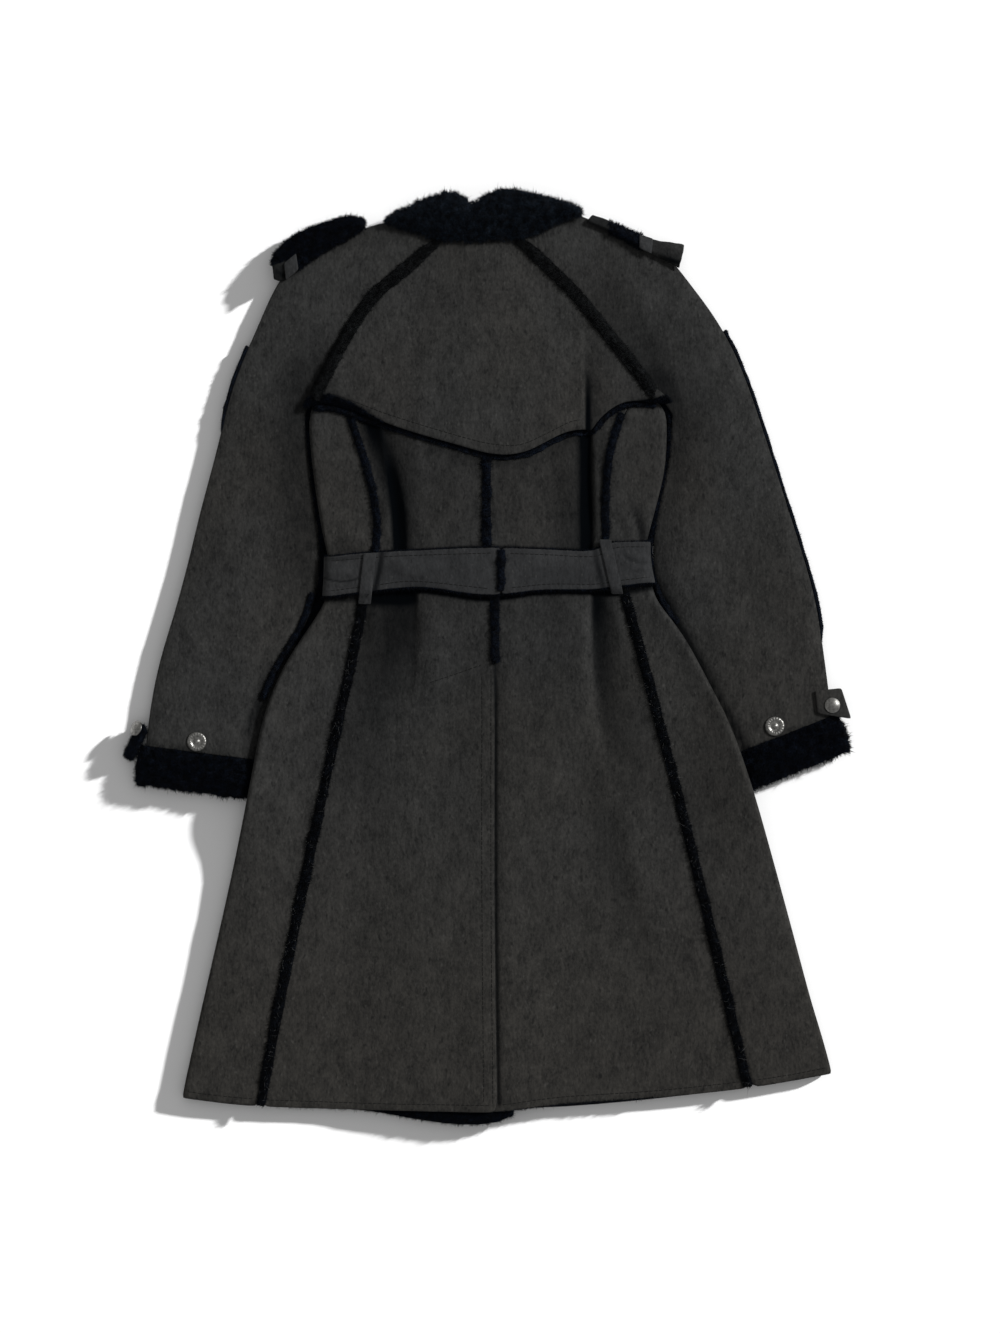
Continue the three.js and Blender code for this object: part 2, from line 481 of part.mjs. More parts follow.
// The fur cuff is a flattened tube that carries on from the end of the sleeve.
function cuff(which) {
  const [ox, oy, ix, iy] = SLEEVE[which].at(-1);
  const [px, py] = [ix - ox, iy - oy].map((v) => v / Math.hypot(ix - ox, iy - oy));
  const s = sign[which];
  const down = [-s * py, s * px];
  const outer = [];
  const inner = [];
  const length = Math.hypot(ix - ox, iy - oy);
  for (const t of range(3)) {
    const swell = CUFF_OUT.ends + CUFF_OUT.middle * Math.sin(Math.PI * t);
    const lip = 1 - CUFF_LIP * Math.pow(2 * t - 1, 4);
    const loopOut = [];
    const loopIn = [];
    const deep = GAP + CUFF_DEEP * t;
    for (const [upper, list] of [[1, CUFF_ACROSS], [0, [...CUFF_ACROSS].reverse()]]) {
      for (const u of list) {
        const reach = u * (length + swell) - swell;
        const x = ox + px * reach + down[0] * deep;
        const y = oy + py * reach + down[1] * deep;
        const under = underShare(sleeveIn(which, x, Math.max(y, iy)));
        const edge = outerShare(u * length) * lip * under;
        const open = clamp01(u * CUFF_SLIT.opens) * clamp01((1 - u) * CUFF_SLIT.opens);
        const slit = mix(CUFF_SLIT.least, CUFF_SLIT.most, open);
        const half = CUFF_WALL * edge;
        const centre = CUFF_WALL * under;
        loopOut.push([x, y, centre + (upper ? half : -half)]);
        const into = mix(reach, length / 2, CUFF_SLIT.inset);
        const mx = ox + px * into + down[0] * deep;
        const my = oy + py * into + down[1] * deep;
        loopIn.push([mx, my, centre + (upper ? 1 : -1) * slit * GAP]);
      }
    }
    outer.push(loopOut);
    inner.push(loopIn);
  }
  return wall(`cuff_${which}`, outer, inner, true);
}

// ---- collar
function collarPiece(name, lower, upper, under, thick, skip, count) {
  const rows = COLLAR.slice(skip, COLLAR.length - skip);
  const xs = rows.flatMap(([x], k) => (k === rows.length - 1 ? [x] : [x, mix(x, rows[k + 1][0], 0.5)]));
  const low = curve(COLLAR, 1);
  const high = curve(COLLAR, 2);
  const outer = [];
  const inner = [];
  for (const v of range(count)) {
    const line = xs.map((x) => [x, mix(lower(x, low(x)), upper(high(x)), v)]);
    const round = Math.sqrt(1 - Math.pow(2 * v - 1, 4) * COLLAR_ROUND);
    inner.push(line.map(([x, y]) => [x, y, under(x, y)]));
    outer.push(line.map(([x, y]) => [x, y, under(x, y) + thick * round]));
  }
  return wall(name, outer, inner);
}
const underFall = (x, y) => backUnder(x, y) + LAYER;

// ---- trim laid on the panels
// Height of the highest face of some finished pieces over a place, felt round it as well.
const FEEL = 1.2;
function surfaceOf(...meshes) {
  const faces = [];
  for (const mesh of meshes) {
    const spot = mesh.geometry.getAttribute('position');
    const index = mesh.geometry.getIndex().array;
    for (let k = 0; k < index.length; k += 3) {
      faces.push([0, 1, 2].map((c) => [spot.getX(index[k + c]), spot.getY(index[k + c]), spot.getZ(index[k + c])]));
    }
  }
  const heightIn = ([a, b, c], x, y) => {
    const area = (b[0] - a[0]) * (c[1] - a[1]) - (b[1] - a[1]) * (c[0] - a[0]);
    if (Math.abs(area) < 1e-9) return -Infinity;
    const v = ((x - a[0]) * (c[1] - a[1]) - (y - a[1]) * (c[0] - a[0])) / area;
    const w = ((b[0] - a[0]) * (y - a[1]) - (b[1] - a[1]) * (x - a[0])) / area;
    return v < 0 || w < 0 || v + w > 1 ? -Infinity : a[2] + v * (b[2] - a[2]) + w * (c[2] - a[2]);
  };
  const feel = [[0, 0], [FEEL, 0], [-FEEL, 0], [0, FEEL], [0, -FEEL]];
  return (x, y) => {
    const near = faces.filter((face) => face.some((p) => p[0] >= x - FEEL) && face.some((p) => p[0] <= x + FEEL)
      && face.some((p) => p[1] >= y - FEEL) && face.some((p) => p[1] <= y + FEEL));
    return Math.max(0, ...near.flatMap((face) => feel.map(([dx, dy]) => heightIn(face, x + dx, y + dy))));
  };
}
// A welt along a path of points: the section is a low rounded bar.
function welt(name, path, width, surface, high) {
  const outer = [];
  const inner = [];
  path.forEach(([x, y], k) => {
    const [ax, ay] = path[Math.max(0, k - 1)];
    const [bx, by] = path[Math.min(path.length - 1, k + 1)];
    const long = Math.hypot(bx - ax, by - ay);
    const [nx, ny] = [-(by - ay) / long, (bx - ax) / long];
    const spots = WELT_ACROSS.map((share) => [x + nx * width * share, y + ny * width * share]);
    const base = spots.map(([px, py]) => surface(px, py));
    const middle = Math.max(...base);
    const floor = [base[0] || middle, middle, middle, base[3] || middle].map((z) => z + WELT_EASE);
    inner.push(spots.map(([px, py], c) => [px, py, floor[c]]));
    outer.push(spots.map(([px, py], c) => [px, py, floor[c] + high * (c === 0 || c === 3 ? WELT_SHOULDER : 1)]));
  });
  return wall(name, outer, inner);
}
// The points of a seam at the rows the panels share, between two levels.
function downSeam(from, to, edge) {
  const shared = BODY_ROWS.filter((y) => y < from - WELT_CLEAR && y > to + WELT_CLEAR);
  return [from, ...shared, to].map((y) => [edge(y), y]);
}
// A round bar along the outer edge of a sleeve.
function edgeWelt(which) {
  const outer = [];
  const inner = [];
  for (const t of range(12)) {
    const at = mix(EDGE_WELT.from, EDGE_WELT.to, t);
    const [x, y, ix, iy] = sleeve[which](at);
    const long = Math.hypot(x - ix, y - iy);
    const [nx, ny] = [(x - ix) / long, (y - iy) / long];
    const ring = (share) => range(6).slice(0, -1).map((a) => {
      const angle = 2 * Math.PI * a;
      const out = EDGE_WELT.radius + 2 * GAP + EDGE_WELT.radius * share * Math.cos(angle);
      return [x + nx * out, y + ny * out, LAYER + EDGE_WELT.radius * share * Math.sin(angle)];
    });
    outer.push(ring(1));
    inner.push(ring(EDGE_WELT.core));
  }
  return wall(`edge_welt_${which}`, outer, inner, true);
}
function epaulettePoint(which, t, v) {
  const [ox, oy, sx, sy] = along(EPAULETTE[which])(t);
  const x = mix(sx, ox, v);
  const y = mix(sy, oy, v);
  return [x, y, 2 * LAYER - EPAULETTE_DROP * smooth((v - EPAULETTE_FLAT) / (1 - EPAULETTE_FLAT))];
}
function epaulette(which) {
  const outer = [];
  const inner = [];
  for (const t of range(9)) {
    const line4 = range(5).map((v) => [epaulettePoint(which, t, v), v]);
    inner.push(line4.map(([p]) => p));
    outer.push(line4.map(([[x, y, z], v]) => [x, y, z + WALL * (v === 0 || v === 1 ? EPAULETTE_EDGE : 1)]));
  }
  return wall(`epaulette_${which}`, outer, inner);
}
function keeper(which) {
  const outer = [];
  const inner = [];
  const { from, to, holds } = KEEPER[which];
  for (const t of range(2)) {
    const line4 = range(5).map((v) => epaulettePoint(which, mix(from, to, t), v * holds));
    inner.push(line4.map(([x, y, z]) => [x, y, z + WALL + GAP]));
    outer.push(line4.map(([x, y, z]) => [x, y, z + WALL + GAP + LOOP_WALL]));
  }
  return wall(`epaulette_keeper_${which}`, outer, inner);
}

// ---- belt
function beltPart(which) {
  const s = sign[which];
  const outer = [];
  const inner = [];
  const across = range(3);
  const lowAt = side[which](90);
  const turn = lowAt - s * LAYER;
  const start = BELT_SEAM_X + s * GAP;
  const turnAt = (y) => side[which](y) - s * LAYER;
  const put = (xIn, xOut, low, high, zIn, zOut) => {
    const ys = across.map((v) => mix(low, high, v));
    inner.push(ys.map((y) => [xIn(y), y, zIn(xIn(y), y)]));
    outer.push(ys.map((y) => [xOut(y), y, zOut(xOut(y), y)]));
  };
  // the side panel's turn stands higher than the floor below the rest of it
  const nearTurn = (x, y) => clamp01(1 - s * (turnAt(y) - x) / BELT_RAMP)
    * (floorOf(side[which](y), y) - floorOf(x, y));
  const topIn = (x, y) => backTop(x, y) + nearTurn(x, y) + STACK_GAP;
  for (const u of range(12).slice(0, -1)) {
    const x = mix(start, turn, u);
    put(() => x, () => x, beltLow(x), beltHigh(x), topIn, (px, y) => topIn(px, y) + BELT_WALL);
  }
  const low = beltLow(lowAt);
  const high = beltHigh(lowAt);
  for (const a of range(6)) {
    const angle = Math.PI * (0.5 - a);
    const zAt = (y, more) => {
      const top = topIn(turnAt(y), y);
      const centre = (top + BELT_WALL) / 2;
      return centre + ((top - BELT_WALL) / 2 + more) * Math.sin(angle);
    };
    const bow = (wide) => (y) => turnAt(y) + s * (LAYER + STACK_GAP + wide) * Math.cos(angle);
    put(bow(0), bow(BELT_WALL), low, high, (_, y) => zAt(y, 0), (_, y) => zAt(y, BELT_WALL));
  }
  for (const u of range(5).slice(1)) {
    const x = mix(turn, s * GAP / 2, u);
    const y0 = frontBeltLow(x);
    put(() => x, () => x, y0, y0 + FRONT_BELT.deep, () => BELT_WALL, () => 0);
  }
  return wall(`belt_${which}`, outer, inner);
}
function beltLoop(which, onBack, onBelt) {
  const [x0, y0, x1, y1, width] = BELT_LOOP[which];
  const outer = [];
  const inner = [];
  for (const t of range(11)) {
    const [x, y] = [mix(x0, x1, t), mix(y0, y1, t)];
    const spots = range(2).map((v) => [x + width * (v - 0.5), y]);
    const near = [-LOOP_REACH, 0, LOOP_REACH].flatMap((dy) => spots.map(([px]) => [px, y + dy]));
    const base = Math.max(...near.map(([px, py]) => Math.max(onBack(px, py), onBelt(px, py)))) + GAP;
    inner.push(spots.map(([px, py]) => [px, py, base]));
    outer.push(spots.map(([px, py], k) => [px, py, base + LOOP_WALL * (k === 1 ? 1 : 0.8)]));
  }
  return wall(`belt_loop_${which}`, outer, inner);
}

// ---- snaps and cuff straps
// A turned piece, its profile running from the top of the axis round to the bottom.
function lathed(name, profile, parts) {
  const points = [0, 0, profile[0][1]];
  for (const [r, z] of profile.slice(1, -1)) {
    for (let k = 0; k < parts; k += 1) {
      const angle = 2 * Math.PI * k / parts;
      points.push(r * Math.cos(angle), r * Math.sin(angle), z);
    }
  }
  points.push(0, 0, profile.at(-1)[1]);
  const id = (ring, k) => 1 + ring * parts + (k % parts);
  const last = points.length / 3 - 1;
  const rings = profile.length - 2;
  const faces = [];
  for (let k = 0; k < parts; k += 1) {
    faces.push(0, id(0, k), id(0, k + 1), last, id(rings - 1, k + 1), id(rings - 1, k));
    for (let ring = 0; ring < rings - 1; ring += 1) {
      faces.push(id(ring, k), id(ring + 1, k), id(ring + 1, k + 1));
      faces.push(id(ring, k), id(ring + 1, k + 1), id(ring, k + 1));
    }
  }
  return meshOf(name, points, faces);
}
function snap(name, { seat, faces, profile }) {
  const mesh = lathed(name, profile, SNAP_PARTS);
  const towards = new THREE.Vector3(...faces).normalize();
  const turn = new THREE.Quaternion().setFromUnitVectors(new THREE.Vector3(0, 0, 1), towards);
  mesh.geometry.applyQuaternion(turn).translate(...seat);
  return mesh;
}
function strap(name, corners, under, high) {
  const outer = [];
  const inner = [];
  const [a, b, c, d] = corners;
  const place = (v, t) => [0, 1].map((axis) => mix(mix(a[axis], b[axis], v), mix(d[axis], c[axis], v), t));
  for (const t of range(4)) {
    const row = range(3).map((v) => place(v, t));
    inner.push(row.map(([x, y]) => [x, y, under]));
    outer.push(row.map(([x, y]) => [x, y, under + high]));
  }
  return wall(name, outer, inner);
}

// ---- the coat
const coat = new THREE.Group();
coat.name = 'trench_coat';
const piece = {};
const add = (mesh) => { piece[mesh.name] = mesh; coat.add(mesh); };
const on = (...names) => surfaceOf(...names.map((name) => piece[name]));
for (const which of SIDES) {
  [frontPanel(which), sidePanel(which), backPanel(which), sleevePiece(which, false), sleevePiece(which, true),
    cuff(which), epaulette(which), keeper(which), beltPart(which), edgeWelt(which)].forEach(add);
}
add(yoke());
add(collarPiece('collar_fall', (x, low) => low, (high) => high, underFall, FALL_WALL, 0, 4));
add(collarPiece('collar_stand', (x) => neck(x) + HIDDEN_EASE, (high) => high - 3, () => LAYER, WALL, 2, 2));
add(collarPiece('collar_front', (x) => neck(x) + HIDDEN_EASE, (high) => high - 2, () => 0, WALL, 2, 2));

const onBack = on('back_left', 'back_right', 'side_left', 'side_right');
for (const which of SIDES) {
  const onSleeve = on(`sleeve_back_${which}`);
  const raglanRows = [WELTS.raglanTop, ...RAGLAN_ROWS.slice(1, -2)].map((t) => sleeve[which](t).slice(2));
  add(welt(`raglan_welt_${which}`, raglanRows, WELTS.raglan, on('yoke', `sleeve_back_${which}`), WELT_HIGH));
  for (const part of ['upper', 'lower']) {
    const span = WELTS[`princess_${part}`];
    const seam = downSeam(...span[which], princess[which]);
    add(welt(`princess_${part}_welt_${which}`, seam, span.wide, onBack, WELT_HIGH));
  }
  const under = curve(UNDERARM_WELT[which]);
  const underPath = UNDERARM_WELT[which].map(([y]) => [under(y), y]);
  add(welt(`underarm_welt_${which}`, underPath, UNDERARM_WIDE, onSleeve, WELT_HIGH * UNDERARM_SHARE));
  const { corners, under: base, high } = STRAP[which];
  add(strap(`cuff_strap_${which}`, corners, base, high));
  add(beltLoop(which, onBack, on('belt_left', 'belt_right')));
}
for (const key of ['back_upper', 'back_lower']) {
  add(welt(`${key}_welt`, downSeam(...WELTS[key].span, backSeam), WELTS[key].wide, onBack, WELT_HIGH));
}
const beltSeam = WELTS.belt.span.map((y) => [BELT_SEAM_X, y]);
add(welt('belt_welt', beltSeam, WELTS.belt.wide, on('belt_left', 'belt_right'), WELT_HIGH));
add(welt('yoke_trim', yokeHem().slice(1, -1), YOKE_TRIM.wide,
  on('back_left', 'back_right', 'side_left', 'side_right', 'sleeve_back_left', 'sleeve_back_right'), WELT_HIGH));
for (const [name, fitting] of Object.entries(SNAPS)) add(snap(name, fitting));

// The middle of the outline on the surface is the origin.
const bounds = new THREE.Box3().setFromObject(coat);
const middle = bounds.getCenter(new THREE.Vector3());
for (const mesh of coat.children) mesh.geometry.translate(-middle.x, -middle.y, -bounds.min.z);

export default coat;
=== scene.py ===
"""The looks of a belted shearling trench coat, laid out flat on its front with the back up.

Places and sizes are millimetres on the cutting table, whose zero is the middle of the back at the
waist; LAID is how far that zero lies from the middle of the whole outline. Meshes are in metres.
"""

import math

import bmesh
import bpy
import numpy as np
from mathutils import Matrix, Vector, noise
from mathutils.bvhtree import BVHTree


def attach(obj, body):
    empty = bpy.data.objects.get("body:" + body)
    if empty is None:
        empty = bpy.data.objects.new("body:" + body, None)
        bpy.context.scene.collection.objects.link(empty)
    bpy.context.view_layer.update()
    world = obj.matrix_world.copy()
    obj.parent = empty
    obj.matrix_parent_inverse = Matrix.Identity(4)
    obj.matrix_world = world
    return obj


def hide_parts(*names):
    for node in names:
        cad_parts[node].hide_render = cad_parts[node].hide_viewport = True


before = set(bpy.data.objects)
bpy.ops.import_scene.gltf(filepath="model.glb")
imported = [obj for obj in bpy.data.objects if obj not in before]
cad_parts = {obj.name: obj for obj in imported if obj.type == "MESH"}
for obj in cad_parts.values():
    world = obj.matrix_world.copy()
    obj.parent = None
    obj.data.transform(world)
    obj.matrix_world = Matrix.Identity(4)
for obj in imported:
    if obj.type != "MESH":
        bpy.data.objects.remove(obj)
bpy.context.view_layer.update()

MM = 0.001
LAID = (4.75, -0.4)
SIDES = ("left", "right")

# ---- cloth walls: finer copies of the solids
LEVELS = {"back": 3, "front": 1, "side": 2, "yoke": 3, "sleeve_back": 2, "sleeve_front": 1, "belt": 3}
SMALL_LEVEL, SEAM_LEVEL = 2, 3  # for the small pieces, and for the short seams and the collar's fall
EDGE_CREASE = 0.36          # how firmly a wall's edge keeps its corner
SLEEVE_CREASE = 0.85        # the same for the sleeves
EDGE_TURN = math.radians(38)  # faces that turn more than this meet at an edge of the wall
QUAD_TURN = math.radians(30)  # two triangles flatter than this make one four-sided face
MERGE = 0.01                # corners nearer than this are one
UPPER_SKIN, UPPER_FADE = -0.2, 0.5  # how far a face may look down and still rise with the creases

# ---- creases, each: half width to the left, half width to the right, height (a trough is below zero),
# then points down its length: x, y, share of the height there
BODY_CREASES = [
    (6, 9, -4.8, (-116, 262, 0.3), (-114, 226, 0.7), (-110, 200, 0.9), (-105, 165, 1), (-101, 125, 1),
     (-101, 108, 0.8)),
    (9, 6, -3.2, (-134, 262, 0.4), (-127, 240, 0.8), (-122, 212, 0.8), (-119, 188, 0.3), (-118, 170, 0)),
    (7, 7, 3.0, (-124, 200, 0), (-117, 176, 0.6), (-115, 145, 1), (-113, 118, 0.8)),
    (12, 12, 2.4, (-84, 250, 0), (-84, 205, 0.8), (-83, 160, 1), (-83, 128, 0.6)),
    (9, 4, -5.0, (105, 262, 0.6), (106, 240, 0.9), (106, 205, 1), (107, 165, 1), (108, 120, 1)),
    (4, 4, 2.6, (113, 250, 0.4), (114, 210, 1), (115, 165, 1), (118, 130, 0.6)),
    (13, 12, 2.2, (86, 250, 0), (87, 205, 0.8), (88, 160, 1), (90, 128, 0.5)),
    (3, 6, -2.6, (150, 172, 0), (155, 160, 0.8), (159, 148, 1), (164, 130, 0.8), (166, 120, 0)),
    (6, 4, 2.4, (145, 176, 0), (149, 160, 1), (152, 144, 1), (157, 128, 0.5)),
    (30, 6, -4.2, (-88, 78, 1), (-87, 50, 1), (-86, 20, 0.8), (-88, -10, 0.5), (-92, -60, 0)),
    (7, 7, 3.0, (-135, 74, 1), (-131, 50, 1), (-129, 24, 0.7), (-130, -10, 0)),
    (14, 14, 2.6, (-68, 74, 0.8), (-66, 30, 1), (-64, -20, 0.8), (-62, -90, 0.3), (-60, -150, 0)),
    (5, 16, -4.2, (115, 80, 1), (114, 50, 1), (115, 10, 0.9), (117, -30, 0.6), (124, -90, 0.3),
     (134, -150, 0)),
    (11, 7, 2.8, (100, 76, 0.8), (100, 40, 1), (101, 0, 0.9), (104, -50, 0.5), (112, -120, 0)),
    (7, 9, 2.6, (137, 74, 1), (138, 44, 1), (140, 10, 0.7), (146, -30, 0)),
    (14, 16, -1.6, (64, 70, 0.6), (66, 20, 1), (70, -40, 0.7), (78, -110, 0)),
    (16, 16, -1.3, (-34, 60, 0.5), (-32, 0, 1), (-34, -80, 0.6), (-36, -150, 0)),
    (20, 11, -2.4, (108, -100, 0), (122, -150, 0.7), (134, -210, 1), (150, -266, 0.9), (166, -322, 0.5),
     (176, -370, 0)),
    (10, 20, 2.2, (132, -130, 0), (146, -170, 0.8), (160, -225, 1), (176, -285, 0.7), (190, -345, 0)),
    (18, 18, 1.2, (86, -170, 0), (104, -235, 0.9), (122, -300, 0.7), (138, -370, 0)),
    (18, 22, -1.4, (-186, -60, 0), (-204, -130, 1), (-220, -210, 0.8), (-234, -290, 0)),
    (20, 20, -1.3, (206, -70, 0), (230, -150, 1), (252, -230, 0.7), (268, -300, 0)),
    (22, 22, 1.4, (-216, -110, 0), (-240, -200, 1), (-264, -300, 0.9), (-284, -420, 0.3)),
    (22, 24, 1.4, (280, -180, 0), (304, -270, 1), (328, -360, 0.8), (346, -440, 0.3)),
    (24, 24, -1.1, (-110, -170, 0), (-134, -250, 1), (-152, -340, 0.8), (-166, -420, 0)),
    (22, 22, 1.2, (-60, -170, 0), (-74, -260, 1), (-82, -350, 0.8), (-86, -430, 0)),
    (20, 20, -1.0, (44, -190, 0), (54, -280, 1), (62, -370, 0.7), (66, -440, 0)),
    (7, 9, -1.4, (-181, 150, 0), (-176, 136, 1), (-168, 124, 0.8), (-160, 118, 0)),
    (10, 10, -1.2, (-172, 222, 0), (-166, 190, 1), (-158, 160, 0)),
    (12, 12, 1.4, (-178, 196, 0), (-182, 160, 0.8), (-178, 128, 0)),
]
YOKE_CREASES = [
    (2, 15, -1.6, (104, 372, 0), (103, 340, 0.4), (103, 300, 0.8), (103, 250, 1)),
    (9, 3, 1.6, (97, 366, 0), (98, 330, 0.6), (98, 290, 1), (97, 256, 0.8)),
    (22, 22, -1.2, (-60, 440, 0), (-84, 380, 1), (-104, 330, 0.6), (-112, 300, 0)),
    (24, 24, -1.1, (60, 430, 0), (46, 380, 0.8), (30, 320, 1), (16, 262, 0)),
    (12, 12, -1.2, (-172, 336, 0), (-158, 312, 1), (-140, 282, 0.5)),
    (14, 14, -1.1, (140, 372, 0), (160, 330, 1), (176, 296, 0.5)),
    (18, 18, 1.0, (-28, 446, 0), (-34, 380, 1), (-34, 310, 0.8), (-28, 256, 0)),
]
SLEEVE_CREASES = [
    (16, 22, -2.4, (-190, 352, 0), (-202, 306, 0.8), (-212, 256, 1), (-212, 190, 1), (-208, 130, 0.7),
     (-206, 90, 0)),
    (10, 10, -1.6, (-206, 262, 0), (-232, 230, 1), (-262, 206, 0)),
    (12, 12, -1.5, (-204, 190, 0.4), (-230, 156, 1), (-262, 132, 0)),
    (13, 13, -1.7, (-208, 92, 0.5), (-240, 62, 1), (-276, 44, 0)),
    (15, 15, -1.3, (-298, 190, 0), (-318, 110, 1), (-334, 30, 0)),
    (14, 20, -1.6, (-232, 20, 0), (-252, -30, 0.8), (-258, -76, 1), (-262, -104, 0.5)),
    (20, 20, 1.6, (-238, 320, 0), (-256, 250, 1), (-266, 170, 0)),
    (18, 18, 1.2, (-244, 100, 0), (-268, 20, 1), (-284, -60, 0)),
    (18, 16, -2.2, (120, 404, 0), (146, 364, 0.7), (176, 320, 1), (200, 276, 0.8), (210, 220, 0.4),
     (208, 160, 0)),
    (10, 10, -1.6, (202, 276, 0), (230, 244, 1), (260, 226, 0)),
    (12, 12, -1.5, (198, 190, 0.4), (226, 158, 1), (252, 132, 0)),
    (13, 13, -1.6, (204, 92, 0.4), (236, 62, 1), (266, 40, 0)),
    (15, 15, -1.3, (290, 210, 0), (312, 120, 1), (330, 30, 0)),
    (16, 16, -1.2, (250, 14, 0), (274, -36, 1), (290, -74, 0)),
    (20, 20, 1.6, (236, 312, 0), (256, 250, 1), (266, 170, 0)),
    (18, 18, 1.2, (240, 112, 0), (264, 30, 1), (284, -44, 0)),
]
BELT_CREASES = [
    (2.2, 2.2, -1.2, (-186, 109, 0.6), (-166, 108, 1), (-146, 112, 0.6)),
    (2.4, 2.4, -1.0, (-186, 88, 0.9), (-174, 85, 1), (-162, 84, 1), (-147, 88, 0.7)),
    (2.4, 2.4, -1.1, (-184, 77, 0), (-170, 75, 1), (-150, 78, 0.4)),
    (2.4, 2.4, 1.2, (-184, 95, 0.4), (-166, 92, 1), (-150, 95, 0.4)),
    (5, 5, -1.1, (-122, 100, 0), (-100, 90, 1), (-76, 84, 0.6), (-60, 84, 0)),
    (6, 6, 1.0, (-118, 108, 0), (-92, 102, 1), (-60, 102, 0)),
    (5, 5, -0.9, (36, 96, 0), (62, 92, 1), (96, 94, 0)),
    (3.4, 3.4, -1.3, (143, 117, 0), (150, 109, 1), (160, 105, 1), (176, 105, 0.4)),
    (3, 3, -1.1, (142, 99, 0), (158, 93, 1), (176, 95, 0.3)),
]
CRUMPLED = [
    (2.4, 2.4, 2.6, (136, 134, 0.6), (142, 128, 1), (149, 124, 0.8)),
    (2.0, 2.0, -2.2, (132, 128, 0.6), (139, 122, 1), (147, 118, 0.6)),
    (2.4, 2.4, 2.0, (150, 132, 0.5), (152, 122, 1), (150, 112, 0.3)),
]
PATH_STEP = 6.0
PATH_PARTS = 12             # parts that a line is rounded in, between two of its points
PRESSED_ROWS = (62, 126)    # levels where the belt presses the ridges flat
PRESS_FADE = 14
WAVES = ((46, 0.5), (15, 0.3))  # slight waves all over: size, height
REACH = 2.6                 # a crease is felt this many half widths away
SHADE_ROUNDNESS = 3         # a painted shade is evenly dark across, then fades fast

# ---- painted shade in the cloth's folds, beside its edges, along the belt and in a few broad patches, as creases are given, with a share of black for height
BODY_SHADE = [
    (8, 10, 1.5, (-119, 240, 0.1), (-114, 218, 0.5), (-109, 192, 0.85), (-104, 160, 1), (-102, 128, 1),
     (-102, 108, 1)),
    (15, 15, 1.15, (-134, 272, 1), (-129, 250, 0.9), (-122, 226, 0.75), (-116, 202, 0.5), (-110, 178, 0.2)),
    (62, 70, 0.17, (-80, 186, 1), (0, 186, 1), (90, 186, 1)),
    (5, 18, 0.34, (-106, 256, 0.9), (-98, 222, 0.9), (-94, 180, 0.8), (-90, 130, 0.9)),
    (11, 5, 1.6, (105, 266, 1), (105, 240, 0.85), (105, 205, 0.8), (106, 165, 0.97), (106, 112, 1)),
    (24, 5, 0.42, (99, 256, 0.6), (97, 205, 0.7), (94, 165, 0.9), (90, 122, 1)),
    (6, 6, 0.34, (116, 248, 0.8), (117, 205, 0.8), (118, 160, 0.9), (120, 128, 1)),
    (2.4, 10, 0.72, (150, 176, 0), (154, 163, 0.7), (158, 150, 1), (163, 134, 0.9), (166, 122, 0.4)),
    (12, 12, 0.32, (-178, 132, 0), (-168, 122, 1), (-158, 117, 1), (-146, 114, 0.6)),
    (11, 9, 1.5, (-130, 66, 0.7), (-112, 68, 1), (-98, 68, 1), (-88, 69, 0.9), (-80, 71, 0)),
    (38, 4, 0.74, (-86, 72, 1), (-86, 40, 0.95), (-86.5, 10, 0.75), (-88, -25, 0.35), (-91, -80, 0)),
    (30, 24, 0.36, (-116, 40, 0.9), (-120, -10, 1), (-130, -60, 0.8), (-144, -130, 0.4), (-156, -200, 0)),
    (4, 17, 0.95, (113, 76, 1), (113, 50, 1), (114, 20, 0.75), (116, -24, 0.5), (120, -68, 0.25),
     (128, -120, 0)),
    (12, 36, 0.34, (122, 30, 0.7), (126, -30, 1), (136, -90, 0.9), (150, -150, 0.5), (164, -200, 0)),
    (30, 24, 0.24, (64, 70, 1), (66, 20, 1), (70, -50, 0.8), (80, -130, 0)),
    (26, 8, 0.28, (104, -96, 0), (120, -150, 0.8), (134, -210, 1), (150, -266, 0.8), (166, -322, 0.3),
     (174, -360, 0)),
    (30, 30, 0.18, (200, -80, 0), (214, -140, 1), (226, -200, 0.6), (236, -250, 0)),
    (7, 44, 0.3, (-147, 62, 0.8), (-150, 20, 1), (-160, -40, 0.8), (-176, -110, 0.3), (-186, -160, 0)),
    (60, 60, 0.14, (-40, 60, 1), (-30, -20, 1), (-20, -110, 0.5), (-10, -190, 0)),
    (1.2, 3.2, 0.82, (2, -4, 0.8), (3.6, -60, 1), (4, -260, 1), (7, -490, 1)),
    (9, 9, 0.3, (-64, 232, 0.6), (-20, 222, 1), (20, 216, 1), (60, 226, 0.8), (90, 244, 1)),
    # painted shade along the belt, below it and above
    (3.6, 4, 1.1, (-188, 63, 0.6), (-150, 65, 0.7), (-127, 68, 1), (-83, 74, 1), (-40, 69, 1), (0, 65, 1),
     (64, 73, 1), (137, 71, 1), (150, 73, 0.8), (182, 79, 0.8)),
    (2.5, 2.5, 0.9, (-120, 115.5, 1), (-83, 117.5, 1), (-4, 121.5, 0.8), (64, 119, 0.8), (116, 117, 1)),
]
